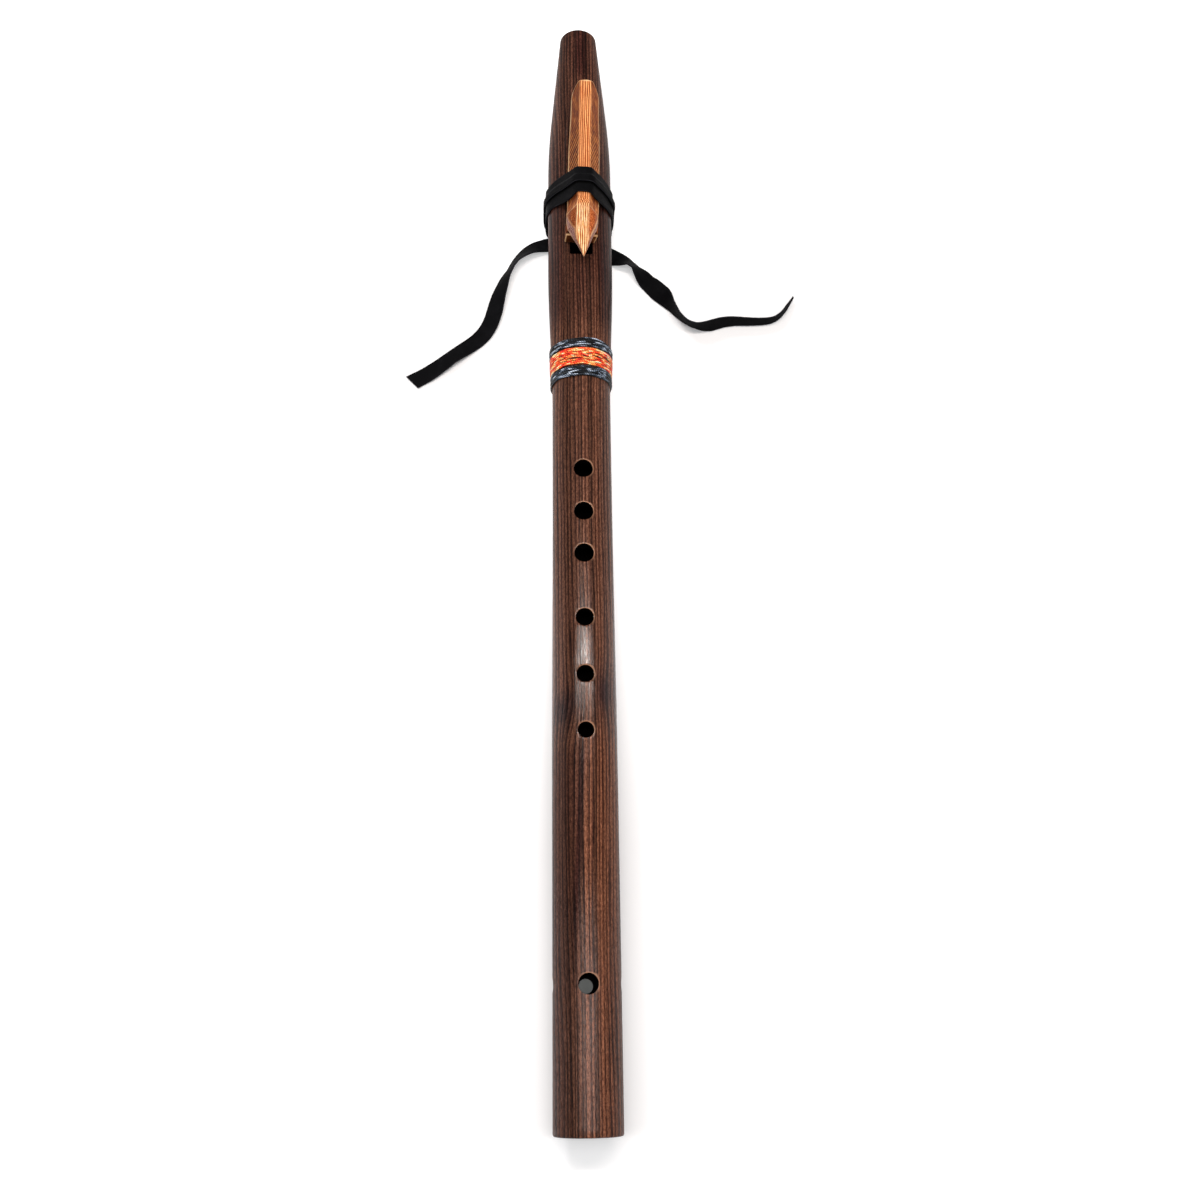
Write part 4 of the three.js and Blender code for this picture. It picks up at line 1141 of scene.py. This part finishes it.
def make_turn(name, node, span, lift, seed, arched, dark_span):
    """One turn of the thong; lift gives its height over the body, and dark_span lies in shadow."""
    section = turn_section(*span, lift)
    middle = sum(span) / 2
    rings, worn, deep = [], [], []
    for k, (base, out) in enumerate(zip(*strap_line())):
        a = 2 * math.pi * k / STRAP_POINTS
        c, s = math.cos(a), math.sin(a)
        ring = []
        for place, height, edge in section:
            side = 1 if place > middle else -1
            drift = 0.28 * wander(2.2 * c + side * 3, 2.2 * s, seed=seed)
            drift += 0.10 * wander(9 * c + side * 5, 9 * s, seed=seed + 1)
            swell = 0.05 * wander(place * 0.35, 5 * c, 5 * s, seed=seed + 2) * (height > lift(place) + 0.6)
            x, z = base + out * (height + swell + thong_hang(base[1]))
            lean = strap_lean(x, z, arched * step(place, middle, -4))
            ring.append((x, place + drift * step(abs(place - middle), 2, 3) + lean, z))
            # The turn's edges are paler: wear and painted highlight
            rub = edge * (0.55 + 0.45 * wander(6 * c, 6 * s, side, seed=seed + 3))
            worn.append(0.8 * min(max(rub, 0), 1))
            # Painted shadow on the lower turn under the upper turn's edge
            deep.append(float(dark_span[0] < place < dark_span[1] and height < lift(place) + 1.01))
        rings.append(ring)
    # The outer side bends round corners more gently than the inner side
    grid = np.array(rings)
    outer = [n for n, (place, height, _) in enumerate(section) if height > lift(place) + 0.4]
    for _ in range(14):
        grid[:, outer] = (grid[:, outer] * 2 + np.roll(grid, 1, 0)[:, outer]
                          + np.roll(grid, -1, 0)[:, outer]) / 4
    skin = Skin()
    rows = skin.stack(grid)
    skin.band(rows[-1], rows[0])
    finish_piece(name, bmesh_of(skin, merge=False), LEATHER, "flute", node,
                 lambda p: {"worn": worn, "deep": deep}, 60)


def upper_lift(place):
    """The upper turn lies over the lower one, then comes down to the body beside it."""
    return OVER_LOWER + (SEAT - OVER_LOWER) * step(place, LOWER_TURN[1] + 0.2, 2.2)


def knot_outline(a, shrink, turn=0.0):
    c, s = math.cos(a + turn), math.sin(a + turn)
    return (math.copysign(abs(c) ** KNOT_CORNER, c) * (KNOT_HALF_WIDTH - shrink),
            math.copysign(abs(s) ** KNOT_CORNER, s) * (KNOT_HALF_LENGTH - shrink))


def make_knot(around=72, layers=3, levels=8):
    """Folded layers of thong under the body; its top follows the strap, its foot is flat on the table."""
    middle_y = to_world([(0, KNOT_PLACE, -KNOT_DROP)])[0][1] * 1000
    seat_z = to_world([(0, KNOT_PLACE, 0)])[0][2] * 1000
    turns = [2 * math.pi * n / around for n in range(around)]

    def top(x):
        return seat_z - math.sqrt((NEST_R + OVER_LOWER) ** 2 - x * x) - 0.05

    rings = []
    for layer in range(layers):
        for k in range(1 if layer else 0, levels + 1):
            f = k / levels
            inset = 0.9 * abs(2 * f - 1) ** 3.2 + (0.3 if layer or k else 0.5)
            ring = []
            for a in turns:
                fold = 0.35 * wander(3 * math.cos(a), 3 * math.sin(a), layer * 2.7, seed=5)
                x, y = knot_outline(a, inset + fold, 0.03 * (layer - 1))
                ring.append((x, middle_y + y, KNOT_FLOOR + (top(x) - KNOT_FLOOR) * (layer + f) / layers))
            rings.append(ring)
    for shrink in (3.0, 5.0, 7.0):
        rings.append([(x, middle_y + y, top(x)) for x, y in (knot_outline(a, shrink) for a in turns)])
    skin = Skin()
    rows = skin.stack(rings)
    skin.fan(rows[-1], (0, middle_y, top(0)))
    skin.fan(rows[0], (0, middle_y, KNOT_FLOOR))
    finish_piece("thong_knot", bmesh_of(skin), LEATHER, "flute", "strap_knot",
                 lambda p: {"worn": np.full(len(p), 0.1)}, 60, on_table)


make_turn("lower_thong_turn", "strap_lower_turn", LOWER_TURN, lambda s: SEAT, 11.0, 1.0,
          (UPPER_TURN[0] - 0.9, LOWER_TURN[1]))
make_turn("upper_thong_turn", "strap_upper_turn", UPPER_TURN, upper_lift, 12.0, 0.0, (0.0, 0.0))
make_knot()


# Thread windings: a close layer of turns, and a strand that crosses back and forth over it
BORDERS = (CHAMBER - 69.2, CHAMBER - 58.6)
BORDER_GAP = 0.05
UNDER_R, OVER_R = 0.34, 0.36
UNDER_HEIGHT, OVER_HEIGHT = 0.30, 0.66
PITCH, POINTS_PER_TURN = 0.62, 72
OVER_START = 0.4


def thread_tube(skin, data, line, radius, strand, sides=7):
    """A tube round the body's axis along a line of (turn, place, height over the body) points."""
    turns, place, height = np.array(line).T
    out = np.stack([np.sin(turns), 0 * turns, -np.cos(turns)], 1)
    spots = out * (body_radius(place) + height)[:, None] + np.outer(place, (0, 1, 0))
    ahead = unit(np.gradient(spots, axis=0))
    side = unit(np.cross(ahead, out))
    lift = np.cross(side, ahead)
    length = np.concatenate([[0], np.cumsum(np.linalg.norm(np.diff(spots, axis=0), axis=1))])
    rings = []
    for k, spot in enumerate(spots):
        tapered = radius * min(1.0, 0.45 + 0.275 * min(k, len(spots) - 1 - k))
        ring = []
        for n in range(sides):
            a = 2 * math.pi * n / sides
            ring.append(spot + side[k] * tapered * math.cos(a) + lift[k] * tapered * 0.85 * math.sin(a))
            data.append((length[k], strand, n / sides))
        rings.append(ring)
    skin.stack_with_ends(rings)


def under_line(start, end, seed):
    turns = max(4, round((end - start) / PITCH))
    line = []
    for f in np.linspace(0, 1, turns * POINTS_PER_TURN + 1):
        angle = 2 * math.pi * turns * f
        drift = 0.07 * wander(math.cos(angle) * 2, math.sin(angle) * 2, f * 4, seed=seed)
        line.append((angle, start + (end - start) * f + drift, UNDER_HEIGHT))
    return line


def over_line(start, end, wraps, zigzag, seed):
    middle, reach = (start + end) / 2, (end - start) / 2 - 0.05
    line = []
    for k in range(wraps * POINTS_PER_TURN + 1):
        turn = k / POINTS_PER_TURN
        angle = 2 * math.pi * turn
        share = 4 * abs((turn * zigzag + 0.13 * seed) % 1.0 - 0.5) - 1
        share = math.sin(share * math.pi / 2) * 0.35 + share * 0.65
        drift = 0.35 * wander(math.cos(angle) * 1.5, math.sin(angle) * 1.5, turn * 0.6, seed=seed + 1)
        height = OVER_HEIGHT + 0.13 * math.sin(angle * 2.37 + seed) + 0.05 * wander(k * 0.05, seed=seed)
        line.append((angle + OVER_START, middle + np.clip(share * reach + drift, -reach, reach), height))
    return line


def make_winding(name, node, low, high, look, wraps, zigzag, seed):
    skin, data = Skin(), []
    start, end = low + UNDER_R, high - UNDER_R
    thread_tube(skin, data, under_line(start, end, seed), UNDER_R, seed)
    thread_tube(skin, data, over_line(start, end, wraps, zigzag, seed), OVER_R, seed + 0.5)
    along, strand, around = np.array(data).T
    dark = look == DARK_THREAD

    def thread_marks(p):
        # Painted shade and light: the top strand lighter, the lower layer and each strand's sides darker
        over, under, gap = (1.17, 0.1, 0.06) if dark else (1.3, 0.2, 0.18)
        shade = np.where(strand % 1 > 0.25, over, under)
        shade *= gap + (1 - gap) * smooth(np.sin(around * 2 * np.pi) + 0.15)
        # Painted shadow along the dark bands' borders with the orange band
        for border in BORDERS if dark else ():
            shade *= 1 - 0.95 * hump(p[:, 1], border, 0.6)
        return {"along": along, "strand": strand, "around": around, "shade": shade}

    finish_piece(name, bmesh_of(skin, merge=False), look, "flute", node, thread_marks, 180)


make_winding("lower_dark_threads", "winding_dark_lower", CHAMBER - 75.7, BORDERS[0] - BORDER_GAP, DARK_THREAD,
             8, 0.77, 1.0)
make_winding("orange_threads", "winding_orange", BORDERS[0] + BORDER_GAP, BORDERS[1] - BORDER_GAP,
             ORANGE_THREAD, 18, 0.618, 2.0)
make_winding("upper_dark_threads", "winding_dark_upper", BORDERS[1] + BORDER_GAP, CHAMBER - 52.8, DARK_THREAD,
             7, 0.77, 3.0)


# Floor, world and lamps
ROOM, CEILING = 0.34, 0.04
FLOOR_HALF, FLOOR_Z = 6, -0.0001


def make_floor():
    """A pale table that glows a little in view. Under the flute at the tuning hole it is painted dark as shade,
    and beside the upper body and just below the foot its glow is raised, painted light over the flute's shadow.
    """
    w = Shader(bpy.data.materials.new("pale_floor"))
    across, along, _ = w.millimetres()
    hole = to_world([(0, TUNING, 0)])[0][1] * 1000
    # Painted shade: dark under the flute around the tuning hole
    under = w.math("MAXIMUM", w.remap(abs(across), 8, 13), w.remap(abs(along - hole), 20, 40))
    outer = w.remap(w.math("MAXIMUM", abs(across) - 130, abs(along) - 310), 0, 150)
    # Painted light: the glow is raised beside the upper body and just below the foot, so that the flute's shadow
    # fades there
    ends = w.math("MAXIMUM", w.remap(along, -190, 20), w.remap(along, -314, -300, 0.55, 0))
    beside = w.remap(abs(across), 28, 55, 1, 0) * ends
    glowing = outer * 0.3 + beside * 0.38 + w.remap(along, -250, 50, 0.10, 0)
    shown = w.value("BsdfDiffuse", {"Color": w.mix(under, (0.3, 0.32, 0.29, 1), (0.8, 0.8, 0.81, 1))})
    glow = w.value("Emission", {"Color": WHITE, "Strength": under * glowing + 0.06})
    both = w.value("AddShader", {0: shown, 1: glow})
    plain = w.value("BsdfDiffuse", {"Color": (0.8, 0.8, 0.8, 1)})
    look = w.finish("MixShader", {0: w.seen_directly(), 1: plain, 2: both})
    mesh = bpy.data.meshes.new("floor")
    corners = [(x * FLOOR_HALF, y * FLOOR_HALF, FLOOR_Z) for x, y in ((-1, -1), (1, -1), (1, 1), (-1, 1))]
    mesh.from_pydata(corners, [], [(0, 1, 2, 3)])
    mesh.materials.append(look)
    add_object("floor", mesh)


def make_world():
    """Even light from all sides. Seen directly or in a reflection it is white low down, with a dark ceiling."""
    w = Shader(bpy.data.worlds.new("studio"))
    height = w.parts(w.value("TexCoord", {}, "Generated"))[2]
    white = w.remap(height, 0.2, 0.35, 1, CEILING, "LINEAR")
    room = w.value("Background", {"Color": WHITE, "Strength": ROOM})
    backdrop = w.value("Background", {"Color": WHITE, "Strength": white})
    bpy.context.scene.world = w.finish("MixShader", {0: w.seen_directly(), 1: room, 2: backdrop}, "World")


def make_lamp(name, spot, target, size, power, color=(1, 1, 1)):
    """An area lamp; size is its width across the flute and its length along it."""
    data = bpy.data.lights.new(name, "AREA")
    data.shape = "ELLIPSE"
    data.size, data.size_y = size
    data.energy = power
    data.color = color
    away = Vector(spot) - Vector(target)
    turn = away.to_track_quat("Z", "Y").to_matrix().to_4x4()
    add_object(name, data).matrix_world = Matrix.Translation(Vector(spot)) @ turn


make_floor()
make_world()
make_lamp("key", (-0.7, 1.2, 1.1), (0, 0, 0), (0.4, 0.4), 9.0)
make_lamp("upper_gloss", (0.0, 0.235, 1.1), (0, 0.1, 0), (1.3, 0.055), 9.2, (1, 0.93, 0.88))
make_lamp("lower_gloss", (0.0, -0.275, 1.1), (0, -0.26, 0), (1.4, 0.12), 4.4)
view = bpy.context.scene.view_settings
view.view_transform = "Standard"
